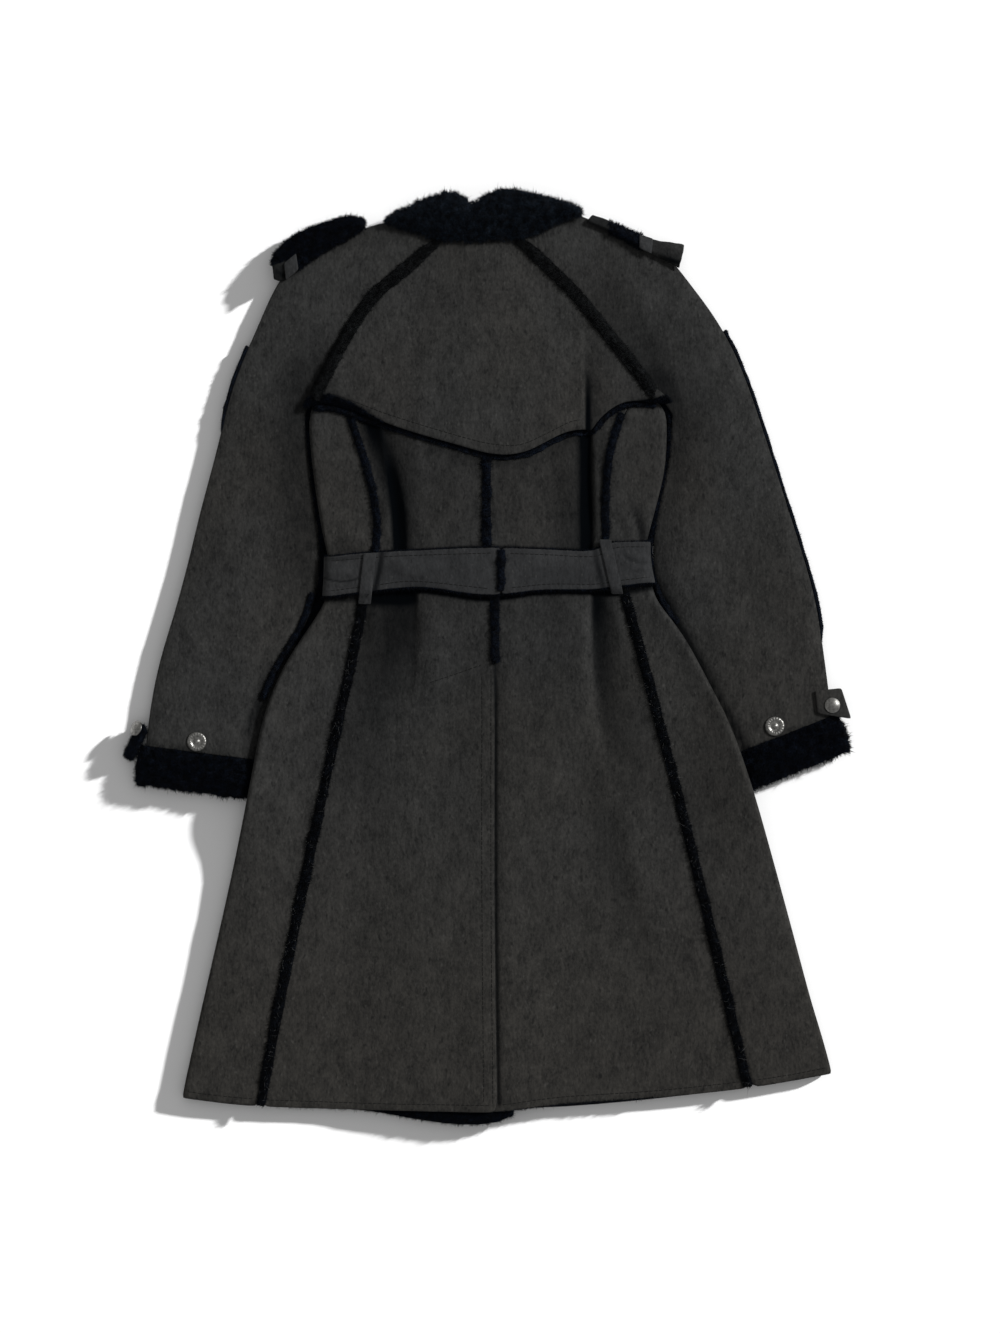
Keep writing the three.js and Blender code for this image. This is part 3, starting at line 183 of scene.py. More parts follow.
YOKE_SHADE = [
    (1.8, 20, 0.52, (103, 376, 0), (103, 340, 0.5), (103.5, 300, 0.8), (104, 250, 1)),
    (2.6, 4.5, 1.1, (104.5, 318, 0), (105, 300, 0.7), (105, 270, 1), (105, 250, 1)),
    (18, 12, 0.26, (-186, 300, 0.6), (-160, 292, 0.6), (-140, 280, 0)),
    (34, 34, 0.12, (130, 400, 0.6), (150, 360, 1), (164, 320, 1), (172, 290, 1)),
    # these two darken the cloth below the raw fur at the yoke's corners
    (9, 7, 1.4, (-214, 274, 1), (-197, 281, 1), (-178, 283, 1), (-153, 273, 1), (-131, 259, 0.8),
     (-112, 250, 0)),
    (5, 5, 1.4, (150, 276, 0.5), (164, 279, 1), (180, 281, 1), (200, 284, 1)),
]
SLEEVE_SHADE = [
    (30, 26, 0.44, (-176, 376, 0), (-190, 336, 0.5), (-204, 290, 1), (-208, 240, 1), (-206, 180, 0.9),
     (-204, 120, 0.9),
     (-206, 70, 0.6), (-212, 20, 0)),
    (40, 34, 0.2, (-214, 310, 0.6), (-226, 250, 1), (-226, 180, 0.8), (-220, 110, 0.4), (-220, 60, 0)),
    (20, 24, 0.36, (-226, 10, 0), (-236, -20, 0.8), (-244, -60, 1), (-250, -110, 1)),
    (28, 34, 0.36, (96, 430, 0), (118, 392, 0.7), (150, 350, 1), (176, 318, 1), (194, 292, 0.6),
     (204, 250, 0)),
    (9, 13, 0.55, (168, 330, 0), (180, 312, 1), (190, 298, 1), (200, 276, 0.6), (204, 240, 0.4),
     (200, 170, 0.3),
     (186, 120, 0.3), (186, 60, 0.4), (214, 0, 0.3), (240, -50, 0.3)),
    (30, 30, 0.16, (222, 330, 0), (226, 280, 1), (222, 220, 0.6), (214, 160, 0)),
    (4, 7, 0.85, (186, 72, 1), (191, 62, 1), (212, 22, 1), (232, -16, 1), (260, -66, 1), (281, -104, 1)),
    (6, 4, 0.75, (-226, 2, 1), (-242, -20, 1), (-254, -46, 1), (-271, -90, 0.8)),
    (26, 26, 0.12, (-300, 190, 0), (-312, 120, 1), (-318, 60, 0.5), (-322, 0, 0)),
    (26, 26, 0.14, (280, 160, 0), (296, 100, 1), (306, 40, 0.5), (310, -20, 0)),
]
BELT_SHADE = [
    (1.2, 1.3, 0.72, (-187, 88, 0.9), (-172, 84.5, 1), (-158, 84, 1), (-147, 87.5, 0.7)),
    (2.4, 2.4, 0.34, (-186, 109, 0.6), (-166, 108, 1), (-148, 111, 0.6)),
    (8, 8, 0.26, (-122, 99, 0.2), (-100, 88, 1), (-76, 82, 0.8), (-50, 80, 0)),
    (10, 10, 0.18, (30, 92, 0), (62, 88, 1), (100, 88, 1), (118, 90, 0.6)),
    (2, 2, 0.45, (143, 116, 0.3), (150, 109, 1), (160, 105, 0.8), (174, 105, 0.3)),
    (2.6, 4, 0.9, (-121, 116, 0.8), (-124, 96, 1), (-129, 74, 1)),
    (4, 2.4, 0.7, (113, 122, 0.8), (117, 100, 1), (124, 74, 1)),
]

# ---- pile: strands to a square centimetre, length, width at the root, how far they stray
PILE = {
    "collar": (195, 5.6, 0.75, 1.0),
    "cuff": (115, 5.4, 0.9, 1.15),
    "epaulette": (150, 4.0, 0.75, 0.85),
    "hem": (200, 4.6, 0.6, 0.9),
    "welt": (105, 4.0, 0.65, 1.3),
    "thin": (110, 3.0, 0.6, 1.2),
    "underarm": (150, 4.0, 0.6, 0.9),
    "belt_low": (380, 5.6, 0.75, 0.5),
    "short": (70, 1.8, 0.5, 0.9),
    "corner": (340, 3.0, 0.75, 1.0),
    "belt_top": (260, 3.0, 0.6, 0.6),
    "fray": (3, 8.5, 0.42, 1.8),
}
CLUMP = 6.0                 # size of the clumps that pile leans in
FACES_UP = -0.15            # pile grows from faces that look up at least this much
CLUMP_LEAN, OWN_LEAN = 1.1, 0.45  # how a strand's lean is shared between its clump and itself
LEAST_RISE = -0.25
LENGTHS = (0.5, 1.1)        # the shortest and longest strands, as shares of the length given
LONG_ONES, LONGER = 0.06, 1.7  # the share of strands that are longer still, and by how much
SQUARE_METRE = 1e4          # in square centimetres
LEAST_AREA = 1e-12          # square metres: a face smaller than this has no direction
LUMP_SHIFT = (3.7, 9.1)     # how far apart the lumps of one seed and the next are taken
ROOT_SUNK, TIP_ABOVE, TIP_BELOW = 0.0004, 0.0004, 0.036  # metres
HEM_SHOWS = -488            # level below which the left front shows past the back

# ---- stitching
STITCH_LONG, STITCH_GAP, STITCH_WIDE = 4.4, 0.9, 0.8
STITCH_SUNK, STITCH_FLAT, STITCH_SIDES = 0.1, 0.6, 6
STITCH_PROFILE = ((0, 0.3), (0.2, 1), (0.8, 1), (1, 0.3))  # share of its length, share of its width
OVER_ALL = 0.1              # metres: above the whole coat
CLEAR = 0.0002              # metres: how far off its own skin a ray begins
END_RUN = 14                # a welt is drawn out over this much of its end


# ---------------------------------------------------------------- small maths
def smooth(t):
    t = np.clip(t, 0.0, 1.0)
    return t * t * (3 - 2 * t)


def table_place(x, y):
    """A place on the cutting table, in metres in the coat's own frame."""
    return (x + LAID[0]) * MM, (y + LAID[1]) * MM


def smooth_path(points, step):
    """Evenly spaced points along a rounded line through the given ones."""
    given = np.array(points, float)
    ahead = np.vstack([2 * given[0] - given[1], given, 2 * given[-1] - given[-2]])
    line = []
    for k in range(1, len(ahead) - 2):
        a, b, c, d = ahead[k - 1 : k + 3]
        for t in np.linspace(0, 1, PATH_PARTS, endpoint=False):
            line.append(
                0.5 * (2 * b + (c - a) * t + (2 * a - 5 * b + 4 * c - d) * t**2
                       + (3 * b - a - 3 * c + d) * t**3)
            )
    line = np.array(line + [given[-1]])
    run = np.concatenate([[0], np.cumsum(np.linalg.norm(np.diff(line, axis=0), axis=1))])
    places = np.linspace(0, run[-1], max(2, int(run[-1] / step) + 1))
    return np.column_stack([np.interp(places, run, line[:, c]) for c in range(given.shape[1])])


def crease_at(crease, x, y, roundness=2):
    """What one crease gives at places on the table: its height there, or its painted shade."""
    west, east, height, *points = crease
    line = smooth_path(points, PATH_STEP)
    reach = REACH * max(west, east)
    low, high = line[:, :2].min(0) - reach, line[:, :2].max(0) + reach
    near = np.nonzero((x > low[0]) & (x < high[0]) & (y > low[1]) & (y < high[1]))[0]
    px, py = x[near], y[near]
    nearest = np.full(len(near), np.inf)
    turned_east = np.zeros(len(near))
    share = np.zeros(len(near))
    for a, b in zip(line, line[1:]):
        d = b[:2] - a[:2]
        t = np.clip(((px - a[0]) * d[0] + (py - a[1]) * d[1]) / (d @ d), 0, 1)
        off_x, off_y = px - a[0] - t * d[0], py - a[1] - t * d[1]
        away = np.hypot(off_x, off_y)
        closer = away < nearest
        nearest = np.where(closer, away, nearest)
        turned_east = np.where(closer, d[0] * off_y - d[1] * off_x, turned_east)
        share = np.where(closer, a[2] + t * (b[2] - a[2]), share)
    half = np.where(turned_east > 0, east, west)
    made = np.zeros(len(x))
    made[near] = height * np.maximum(share, 0) * np.exp(-((nearest / half) ** roundness))
    return made


def ripple(x, y, size):
    """Soft uneven waves of about the given size, from -1 to 1."""
    return np.array([noise.noise(Vector((px / size, py / size, size))) for px, py in zip(x, y)])


def relief(creases, pressed=None):
    """A function that gives the height of the creases, and of slight waves, over the table."""

    def lift(x, y):
        low = np.zeros(len(x))
        high = np.zeros(len(x))
        for crease in creases:
            if crease[2] < 0:
                low = np.minimum(low, crease_at(crease, x, y))
            else:
                high = np.maximum(high, crease_at(crease, x, y))
        if pressed:
            bottom, top = pressed
            high *= 1 - smooth((y - bottom) / PRESS_FADE + 1) * smooth((top - y) / PRESS_FADE + 1)
        return low + high + sum(height * ripple(x, y, size) for size, height in WAVES)

    return lift


def shade_at(shades, x, y):
    """How much painted shade the cloth has at places on the table, from 0 to 1."""
    left_light = np.ones(len(x))
    for shade in shades:
        left_light *= 1 - np.minimum(crease_at(shade, x, y, SHADE_ROUNDNESS), 1)
    return 1 - left_light


body_relief = relief(BODY_CREASES, PRESSED_ROWS)
yoke_relief = relief(YOKE_CREASES)
sleeve_relief = relief(SLEEVE_CREASES)
belt_relief = relief(BELT_CREASES)
side_relief = relief(BODY_CREASES + CRUMPLED, PRESSED_ROWS)
flat_relief = relief([])


# ---------------------------------------------------------------- meshes
def link(name, mesh):
    obj = bpy.data.objects.new(name, mesh)
    bpy.context.scene.collection.objects.link(obj)
    return obj


def corners(mesh):
    co = np.empty(len(mesh.vertices) * 3)
    mesh.vertices.foreach_get("co", co)
    return co.reshape(-1, 3)


def set_corners(mesh, co):
    mesh.vertices.foreach_set("co", co.ravel())
    mesh.update()


def finer(name, node, levels, crease=EDGE_CREASE, swell=0.0):
    """A finer copy of a node's wall, in four-sided faces, its edges slightly rounded. swell moves its
    skin out by so many millimetres, which gives back what the rounding takes."""
    bm = bmesh.new()
    bm.from_mesh(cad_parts[node].data)
    bmesh.ops.remove_doubles(bm, verts=bm.verts, dist=MERGE * MM)
    bmesh.ops.join_triangles(
        bm, faces=bm.faces, angle_face_threshold=QUAD_TURN, angle_shape_threshold=math.pi
    )
    firm = bm.edges.layers.float.new("crease_edge")
    for edge in bm.edges:
        if len(edge.link_faces) == 2 and edge.calc_face_angle() > EDGE_TURN:
            edge[firm] = crease
    mesh = bpy.data.meshes.new(name)
    bm.to_mesh(mesh)
    bm.free()
    obj = link(name, mesh)
    rounding = obj.modifiers.new("rounding", "SUBSURF")
    rounding.levels = rounding.render_levels = levels
    fine = bpy.data.meshes.new_from_object(obj.evaluated_get(bpy.context.evaluated_depsgraph_get()))
    obj.modifiers.clear()
    obj.data = fine
    fine.name = name
    fine.shade_smooth()
    if swell:
        co = corners(fine) + normals(fine) * swell * MM
        co[:, 2] = np.maximum(co[:, 2], 0)
        set_corners(fine, co)
    return obj


def normals(mesh):
    made = np.empty(len(mesh.vertices) * 3)
    mesh.vertices.foreach_get("normal", made)
    return made.reshape(-1, 3)


def draw_out(obj, up, down):
    """Lengthens a welt at its upper and lower ends, by so many millimetres along the table, in the
    direction that the seam runs there."""
    co = corners(obj.data)
    y = co[:, 1]
    for edge, by, toward in ((y.max(), up, 1), (y.min(), -down, -1)):
        share = smooth(1 - toward * (edge - y) / (END_RUN * MM))
        close = np.abs(edge - y) < 2 * END_RUN * MM
        slope = np.polyfit(y[close], co[close, 0], 1)[0]
        co[:, 1] += share * by * MM
        co[:, 0] += share * by * MM * slope
        y = co[:, 1]
    set_corners(obj.data, co)


def on_table(co):
    """The table places, in millimetres, of points in the coat's own frame."""
    return co[:, 0] / MM - LAID[0], co[:, 1] / MM - LAID[1]


def raise_top(obj, lift, shades):
    """Moves the upper skin of a wall by the height of the creases, and keeps the painted shade there.
    Skin with cloth over it stays."""
    mesh = obj.data
    co = corners(mesh)
    share = smooth((normals(mesh)[:, 2] - UPPER_SKIN) / UPPER_FADE)
    tree = BVHTree.FromPolygons([tuple(c) for c in co], [tuple(p.vertices) for p in mesh.polygons])
    for k in np.nonzero(share > 0)[0]:
        if tree.ray_cast(Vector(co[k]) + Vector((0, 0, CLEAR)), Vector((0, 0, 1)))[0] is not None:
            share[k] = 0
    x, y = on_table(co)
    co[:, 2] += lift(x, y) * share * MM
    set_corners(mesh, co)
    # painted shade: how dark the folds are painted, stored on the mesh to darken the cloth colour
    painted_shade = mesh.attributes.new("painted_shade", "FLOAT", "POINT")
    painted_shade.data.foreach_set("value", shade_at(shades, x, y) * share)


def raise_all(obj, lift):
    """Moves a piece that lies on the cloth by the height of the creases below it."""
    co = corners(obj.data)
    co[:, 2] += lift(*on_table(co)) * MM
    set_corners(obj.data, co)


def rough(obj, high, size, seed):
    """Pushes a surface out and in along its normals, in uneven lumps of the given size."""
    co = corners(obj.data)
    shift = Vector((seed * LUMP_SHIFT[0], seed * LUMP_SHIFT[1], 0))
    push = np.array([noise.noise(Vector(c) / (size * MM) + shift) for c in co])
    co += normals(obj.data) * (push * high * MM)[:, None]
    co[:, 2] = np.maximum(co[:, 2], 0)
    set_corners(obj.data, co)


def spikes(name, root, grow, long, wide, rng):
    """Three-sided spikes from root points, as one mesh: directions, lengths and root width in metres."""
    count = len(root)
    tip = root + grow * long[:, None]
    tip[:, 2] = np.clip(tip[:, 2], TIP_ABOVE, TIP_BELOW)
    side = np.cross(grow, rng.normal(size=(count, 3)))
    side /= np.linalg.norm(side, axis=1)[:, None]
    other = np.cross(grow, side)
    ring = [root - grow * ROOT_SUNK + (side * math.cos(t) + other * math.sin(t)) * wide / 2
            for t in np.linspace(0, 2 * math.pi, 3, endpoint=False)]
    points = np.stack([*ring, tip], axis=1).reshape(-1, 3)
    first = np.arange(count)[:, None] * 4
    faces = np.concatenate([first + np.array(f) for f in ((0, 1, 3), (1, 2, 3), (2, 0, 3))])
    mesh = bpy.data.meshes.new(name)
    mesh.from_pydata(points.tolist(), [], faces.tolist())
    mesh.shade_smooth()
    return link(name, mesh)


def pile(base, kind, seed, keep=None, finish=None):
    """Strands of raw pile that stand on a base, leaning together in clumps. keep(x, y, normals) picks
    the faces that they grow from."""
    density, length, width, stray = PILE[kind]
    rng = np.random.default_rng(seed)
    mesh = base.data
    mesh.calc_loop_triangles()
    co = corners(mesh)
    tri = np.empty(len(mesh.loop_triangles) * 3, np.int32)
    mesh.loop_triangles.foreach_get("vertices", tri)
    a, b, c = (co[tri.reshape(-1, 3)[:, k]] for k in range(3))
    cross = np.cross(b - a, c - a)
    area = np.linalg.norm(cross, axis=1) / 2
    normal = cross / np.maximum(2 * area[:, None], LEAST_AREA)
    allowed = normal[:, 2] > FACES_UP if keep is None else keep(*on_table((a + b + c) / 3), normal)
    area = np.where(allowed, area, 0)
    count = int(area.sum() * SQUARE_METRE * density)
    pick = rng.choice(len(area), count, p=area / area.sum())
    u, v = rng.random(count), rng.random(count)
    flip = u + v > 1
    u, v = np.where(flip, 1 - u, u), np.where(flip, 1 - v, v)
    root = a[pick] + u[:, None] * (b - a)[pick] + v[:, None] * (c - a)[pick]
    lean = np.array([noise.noise_vector(Vector(p) / (CLUMP * MM)) for p in root])
    grow = normal[pick] + stray * (CLUMP_LEAN * lean + OWN_LEAN * rng.normal(size=(count, 3)))
    grow /= np.linalg.norm(grow, axis=1)[:, None]
    grow[:, 2] = np.maximum(grow[:, 2], LEAST_RISE)
    long = length * MM * rng.uniform(*LENGTHS, count)
    long *= np.where(rng.random(count) < LONG_ONES, LONGER, 1)
    strands = spikes(f"{base.name}_{kind}", root, grow, long, width * MM, rng)
    strands.parent = base
    return dress(strands, finish or FUR, slot="fur")


def tree_of(*objects):
    """The upper faces of some pieces, to lay a line of stitches on."""
    points, faces = [], []
    for obj in objects:
        first = len(points)
        points += [tuple(v.co) for v in obj.data.vertices]
        faces += [tuple(first + k for k in face.vertices) for face in obj.data.polygons]
    return BVHTree.FromPolygons(points, faces)


def stitches(name, on, path):
    """A row of stitches along a line on the table, laid on the pieces below it: each is a small bar
    with tapered ends, pulled into the nap."""
    tree = tree_of(*on)
    line = smooth_path(path, STITCH_LONG + STITCH_GAP)
    points, faces = [], []
    for a, b in zip(line, line[1:]):
        ends = []
        for share in (0, STITCH_LONG / (STITCH_LONG + STITCH_GAP)):
            x, y = table_place(*(a + (b - a) * share))
            hit = tree.ray_cast(Vector((x, y, OVER_ALL)), Vector((0, 0, -1)))[0]
            if hit is None:
                break
            ends.append(hit + Vector((0, 0, STITCH_WIDE * MM * STITCH_SUNK)))
        if len(ends) < 2:
            continue
        along = (ends[1] - ends[0]).normalized()
        side = along.cross(Vector((0, 0, 1))).normalized()
        first = len(points)
        for share, round_share in STITCH_PROFILE:
            centre = ends[0].lerp(ends[1], share)
            for t in np.linspace(0, 2 * math.pi, STITCH_SIDES, endpoint=False):
                out = side * math.cos(t) + Vector((0, 0, 1)) * math.sin(t) * STITCH_FLAT
                points.append(centre + out * STITCH_WIDE * MM / 2 * round_share)
        last_ring = len(STITCH_PROFILE) - 1
        for ring in range(last_ring):
            for k in range(STITCH_SIDES):
                n = (k + 1) % STITCH_SIDES
                low, high = first + ring * STITCH_SIDES, first + (ring + 1) * STITCH_SIDES
                faces.append((low + k, high + k, high + n, low + n))
        faces.append(tuple(first + k for k in range(STITCH_SIDES)))
        faces.append(tuple(first + last_ring * STITCH_SIDES + k for k in reversed(range(STITCH_SIDES))))
    mesh = bpy.data.meshes.new(name)
    mesh.from_pydata(points, [], faces)
    mesh.shade_smooth()
    row = link(name, mesh)
    row.parent = on[0]
    return dress(row, THREAD)


MARKS_ABOVE = 1             # marks stand on the upper side of a turned piece, not on its rim


def turned(name, profile, around, marks=None):
    """A turned piece: profile points (radius, height) from the axis outwards and down. marks is how
    many raised ticks stand on the ring between two radii, and how high: (count, from, to, height)."""
    bm = bmesh.new()
    rings = []
    for radius, height in profile:
        if radius == 0:
            rings.append([bm.verts.new((0, 0, height * MM))])
            continue
        ring = []
        for t in np.linspace(0, 2 * math.pi, around, endpoint=False):
            tick = 0.0
            if marks and marks[1] <= radius <= marks[2] and height > MARKS_ABOVE:
                tick = marks[3] * max(0.0, math.cos(marks[0] * t))
            across, along = radius * MM * math.cos(t), radius * MM * math.sin(t)
            ring.append(bm.verts.new((across, along, (height + tick) * MM)))
        rings.append(ring)
    for upper, lower in zip(rings, rings[1:]):
        for k in range(around):
            n = (k + 1) % around
            if len(upper) == 1:
                bm.faces.new((upper[0], lower[k], lower[n]))
            elif len(lower) == 1:
                bm.faces.new((upper[n], upper[k], lower[0]))
            else:
                bm.faces.new((upper[k], lower[k], lower[n], upper[n]))
    mesh = bpy.data.meshes.new(name)
    bm.to_mesh(mesh)
    bm.free()
    mesh.shade_smooth()
    return link(name, mesh)


# ---------------------------------------------------------------- materials
def group(name, inputs, outputs):
    """An empty node group with named inputs (name, default) and outputs (name, socket type)."""
    made = bpy.data.node_groups.new(name, "ShaderNodeTree")
    for label, default in inputs:
        kind = "NodeSocketColor" if isinstance(default, tuple) else "NodeSocketFloat"
        made.interface.new_socket(label, in_out="INPUT", socket_type=kind).default_value = default
    for label, kind in outputs:
        made.interface.new_socket(label, in_out="OUTPUT", socket_type=kind)
    return made, made.nodes.new("NodeGroupInput"), made.nodes.new("NodeGroupOutput")


def feed(tree, sockets, values):
    """Links each value to its socket, or sets it there if it is a plain one."""
    for socket, value in zip(sockets, values):
        if isinstance(value, bpy.types.NodeSocket):
            tree.links.new(value, socket)
        else:
            socket.default_value = value


def math_of(tree, kind, first, second):
    """What a math node of this kind makes of two values."""
    node = tree.nodes.new("ShaderNodeMath")
    node.operation = kind
    feed(tree, node.inputs, (first, second))
    return node.outputs[0]


def blend_colours(tree, share, first, second):
    node = tree.nodes.new("ShaderNodeMix")
    node.data_type = "RGBA"
    feed(tree, [s for s in node.inputs if s.enabled], (share, first, second))
    return next(s for s in node.outputs if s.enabled)


def stretched_noise(tree, across, down, detail=3.0, rough_share=0.6):
    """Noise in the coat's own coordinates, with so many cells to a metre across and down."""
    place = tree.nodes.new("ShaderNodeTexCoord")
    mapping = tree.nodes.new("ShaderNodeMapping")
    mapping.inputs["Scale"].default_value = (across, down, across)
    tree.links.new(place.outputs["Object"], mapping.inputs["Vector"])
    cells = tree.nodes.new("ShaderNodeTexNoise")
    cells.inputs["Scale"].default_value = 1.0
    cells.inputs["Detail"].default_value = detail
    cells.inputs["Roughness"].default_value = rough_share
    tree.links.new(mapping.outputs["Vector"], cells.inputs["Vector"])
    return cells.outputs["Fac"]


def band(tree, value, low, high):
    """Values from low to high spread out to 0 to 1, and held there."""
    node = tree.nodes.new("ShaderNodeMapRange")
    node.inputs["From Min"].default_value = low
    node.inputs["From Max"].default_value = high
    tree.links.new(value, node.inputs["Value"])
    return node.outputs["Result"]


WARM_FROM, WARM_TO, WARM_SHARE = -0.05, -0.38, 0.75  # metres: the cloth grows warmer toward the hem
FACE_OUTPUTS = [("Color", "NodeSocketColor"), ("Rough", "NodeSocketFloat"), ("Height", "NodeSocketFloat")]


def make_napped_face():
    """Short nap over a fine upright weave: mottling, threads, pale and dark flecks, and painted shade in the
    folds.
    """
    tree, given, out = group(
        "napped_face",
        [("Ground", (0.009, 0.0092, 0.0092, 1)), ("Bloom", (0.0475, 0.0478, 0.0468, 1)),
         ("Warm", (0.0488, 0.0452, 0.0398, 1)), ("Fleck", (0.078, 0.077, 0.073, 1)),
         ("Painted Shade Colour", (0.0004, 0.0009, 0.0015, 1)), ("Mottling", 0.8), ("Thread", 0.6), ("Painted Shade", 0.0)],
        FACE_OUTPUTS,
    )
    warm_patch = band(tree, stretched_noise(tree, 5, 4, 2), 0.42, 0.62)
    place = tree.nodes.new("ShaderNodeTexCoord")
    split = tree.nodes.new("ShaderNodeSeparateXYZ")
    tree.links.new(place.outputs["Object"], split.inputs["Vector"])
    low_down = math_of(tree, "MULTIPLY", band(tree, split.outputs["Y"], WARM_FROM, WARM_TO), WARM_SHARE)
    warmth = math_of(tree, "MAXIMUM", math_of(tree, "MULTIPLY", warm_patch, 0.5), low_down)
    cloudy = band(tree, stretched_noise(tree, 58, 34, 5, 0.68), 0.3, 0.7)
    thread = band(tree, stretched_noise(tree, 300, 110, 3), 0.34, 0.66)
    grain = band(tree, stretched_noise(tree, 420, 300, 2), 0.3, 0.7)
    pale = band(tree, stretched_noise(tree, 260, 150, 1), 0.64, 0.8)
    dark = band(tree, stretched_noise(tree, 230, 110, 1), 0.36, 0.24)
    mottle = math_of(tree, "MULTIPLY", cloudy, given.outputs["Mottling"])
    fine = math_of(tree, "MULTIPLY", math_of(tree, "ADD", thread, grain), given.outputs["Thread"])
    share = math_of(tree, "MULTIPLY", math_of(tree, "ADD", mottle, fine), 0.5)
    lit = blend_colours(tree, warmth, given.outputs["Bloom"], given.outputs["Warm"])
    colour = blend_colours(tree, share, given.outputs["Ground"], lit)
    colour = blend_colours(tree, math_of(tree, "MULTIPLY", pale, 0.3), colour, given.outputs["Fleck"])
    colour = blend_colours(tree, math_of(tree, "MULTIPLY", dark, 0.6), colour, given.outputs["Ground"])
    # painted shade: the cloth colour is darkened towards a near-black shade colour in the painted folds
    colour = blend_colours(tree, given.outputs["Painted Shade"], colour, given.outputs["Painted Shade Colour"])
    tree.links.new(colour, out.inputs["Color"])
    tree.links.new(math_of(tree, "ADD", math_of(tree, "MULTIPLY", grain, 0.1), 0.88), out.inputs["Rough"])
    threads, grains = (math_of(tree, "MULTIPLY", *part) for part in ((thread, 0.6), (grain, 0.4)))
    tree.links.new(math_of(tree, "ADD", threads, grains), out.inputs["Height"])
    return tree


def make_pile_shade():
    """Near-black pile with a cold cast on some of the clumps and strands."""
    tree, given, out = group(
        "pile_shade",
        [("Deep", (0.0007, 0.001, 0.0017, 1)), ("Lit", (0.0062, 0.0088, 0.0135, 1))],
        FACE_OUTPUTS,
    )
    clump = band(tree, stretched_noise(tree, 170, 170, 3), 0.36, 0.66)
    strand = band(tree, stretched_noise(tree, 760, 760, 2), 0.35, 0.7)
    share = math_of(tree, "MULTIPLY", math_of(tree, "MULTIPLY", clump, strand), 1.4)
    colour = blend_colours(tree, share, given.outputs["Deep"], given.outputs["Lit"])
    tree.links.new(colour, out.inputs["Color"])
    tree.links.new(math_of(tree, "ADD", math_of(tree, "MULTIPLY", clump, 0.2), 0.6), out.inputs["Rough"])
    tree.links.new(strand, out.inputs["Height"])
    return tree


def make_fine_wear():
    """Slight unevenness on metal and thread."""
    tree, given, out = group(
        "fine_wear",
        [("Clean", (0.4, 0.4, 0.4, 1)), ("Worn", (0.2, 0.2, 0.2, 1)),
         ("Rough From", 0.3), ("Rough To", 0.5)],
        FACE_OUTPUTS,
    )
    patch = band(tree, stretched_noise(tree, 420, 420, 4), 0.35, 0.7)
    colour = blend_colours(tree, patch, given.outputs["Clean"], given.outputs["Worn"])
    tree.links.new(colour, out.inputs["Color"])
    span = math_of(tree, "SUBTRACT", given.outputs["Rough To"], given.outputs["Rough From"])
    rough_here = math_of(tree, "ADD", math_of(tree, "MULTIPLY", patch, span), given.outputs["Rough From"])
    tree.links.new(rough_here, out.inputs["Rough"])
    tree.links.new(stretched_noise(tree, 1500, 1500, 2), out.inputs["Height"])
    return tree


def material(name, source, bump, distance, values=None, **sockets):
    """A material fed by a group, with a bump of so many millimetres. values are set on the group,
    sockets on the shader."""
    made = bpy.data.materials.new(name)
    made.use_nodes = True
    tree = made.node_tree
    shader = tree.nodes["Principled BSDF"]
    maker = tree.nodes.new("ShaderNodeGroup")
    maker.node_tree = source
    for label, value in (values or {}).items():
        maker.inputs[label].default_value = value
    tree.links.new(maker.outputs["Color"], shader.inputs["Base Color"])
    tree.links.new(maker.outputs["Rough"], shader.inputs["Roughness"])
    # painted shade: each mesh's painted-shade attribute sets how far the cloth is darkened
    if "Painted Shade" in maker.inputs:
        painted_shade = tree.nodes.new("ShaderNodeAttribute")
        painted_shade.attribute_name = "painted_shade"
        tree.links.new(painted_shade.outputs["Fac"], maker.inputs["Painted Shade"])
    raised = tree.nodes.new("ShaderNodeBump")
    raised.inputs["Strength"].default_value = bump
    raised.inputs["Distance"].default_value = distance * MM
    tree.links.new(maker.outputs["Height"], raised.inputs["Height"])
    tree.links.new(raised.outputs["Normal"], shader.inputs["Normal"])
    for label, value in sockets.items():
        shader.inputs[label.replace("_", " ")].default_value = value
    return made


NAPPED, PILE_SHADE, FINE_WEAR = make_napped_face(), make_pile_shade(), make_fine_wear()
CLOTH_BUMP, PILE_BUMP, METAL_BUMP, THREAD_BUMP = (0.45, 0.5), (0.6, 1.2), (0.15, 0.1), (0.3, 0.1)
# each kind of pile: its colour deep between the strands, its colour where lit, and how much it shines
PILE_LOOKS = {
    "black_pile": ((0.0004, 0.0008, 0.0019, 1), (0.0052, 0.0092, 0.0185, 1), 0.07),
    "collar_pile": ((0.0006, 0.0014, 0.0032, 1), (0.017, 0.028, 0.045, 1), 0.12),
    "seam_pile": ((0.0009, 0.0011, 0.0014, 1), (0.0088, 0.0104, 0.0112, 1), 0.1),
    "dark_pile": ((0.0004, 0.0006, 0.001, 1), (0.0036, 0.0052, 0.0085, 1), 0.06),
}
# each kind of thread: its colour where clean and where worn
THREAD_LOOKS = {
    "tone_thread": ((0.006, 0.0062, 0.0062, 1), (0.014, 0.0138, 0.013, 1)),
    "frayed_yarn": ((0.09, 0.093, 0.094, 1), (0.03, 0.03, 0.03, 1)),
}


def pile_material(name):
    deep, lit, shine = PILE_LOOKS[name]
    return material(name, PILE_SHADE, *PILE_BUMP, {"Deep": deep, "Lit": lit}, Specular_IOR_Level=shine)


def thread_material(name):
    clean, worn = THREAD_LOOKS[name]
    looks = {"Clean": clean, "Worn": worn, "Rough From": 0.75, "Rough To": 0.95}
    return material(name, FINE_WEAR, *THREAD_BUMP, looks, Specular_IOR_Level=0.1)


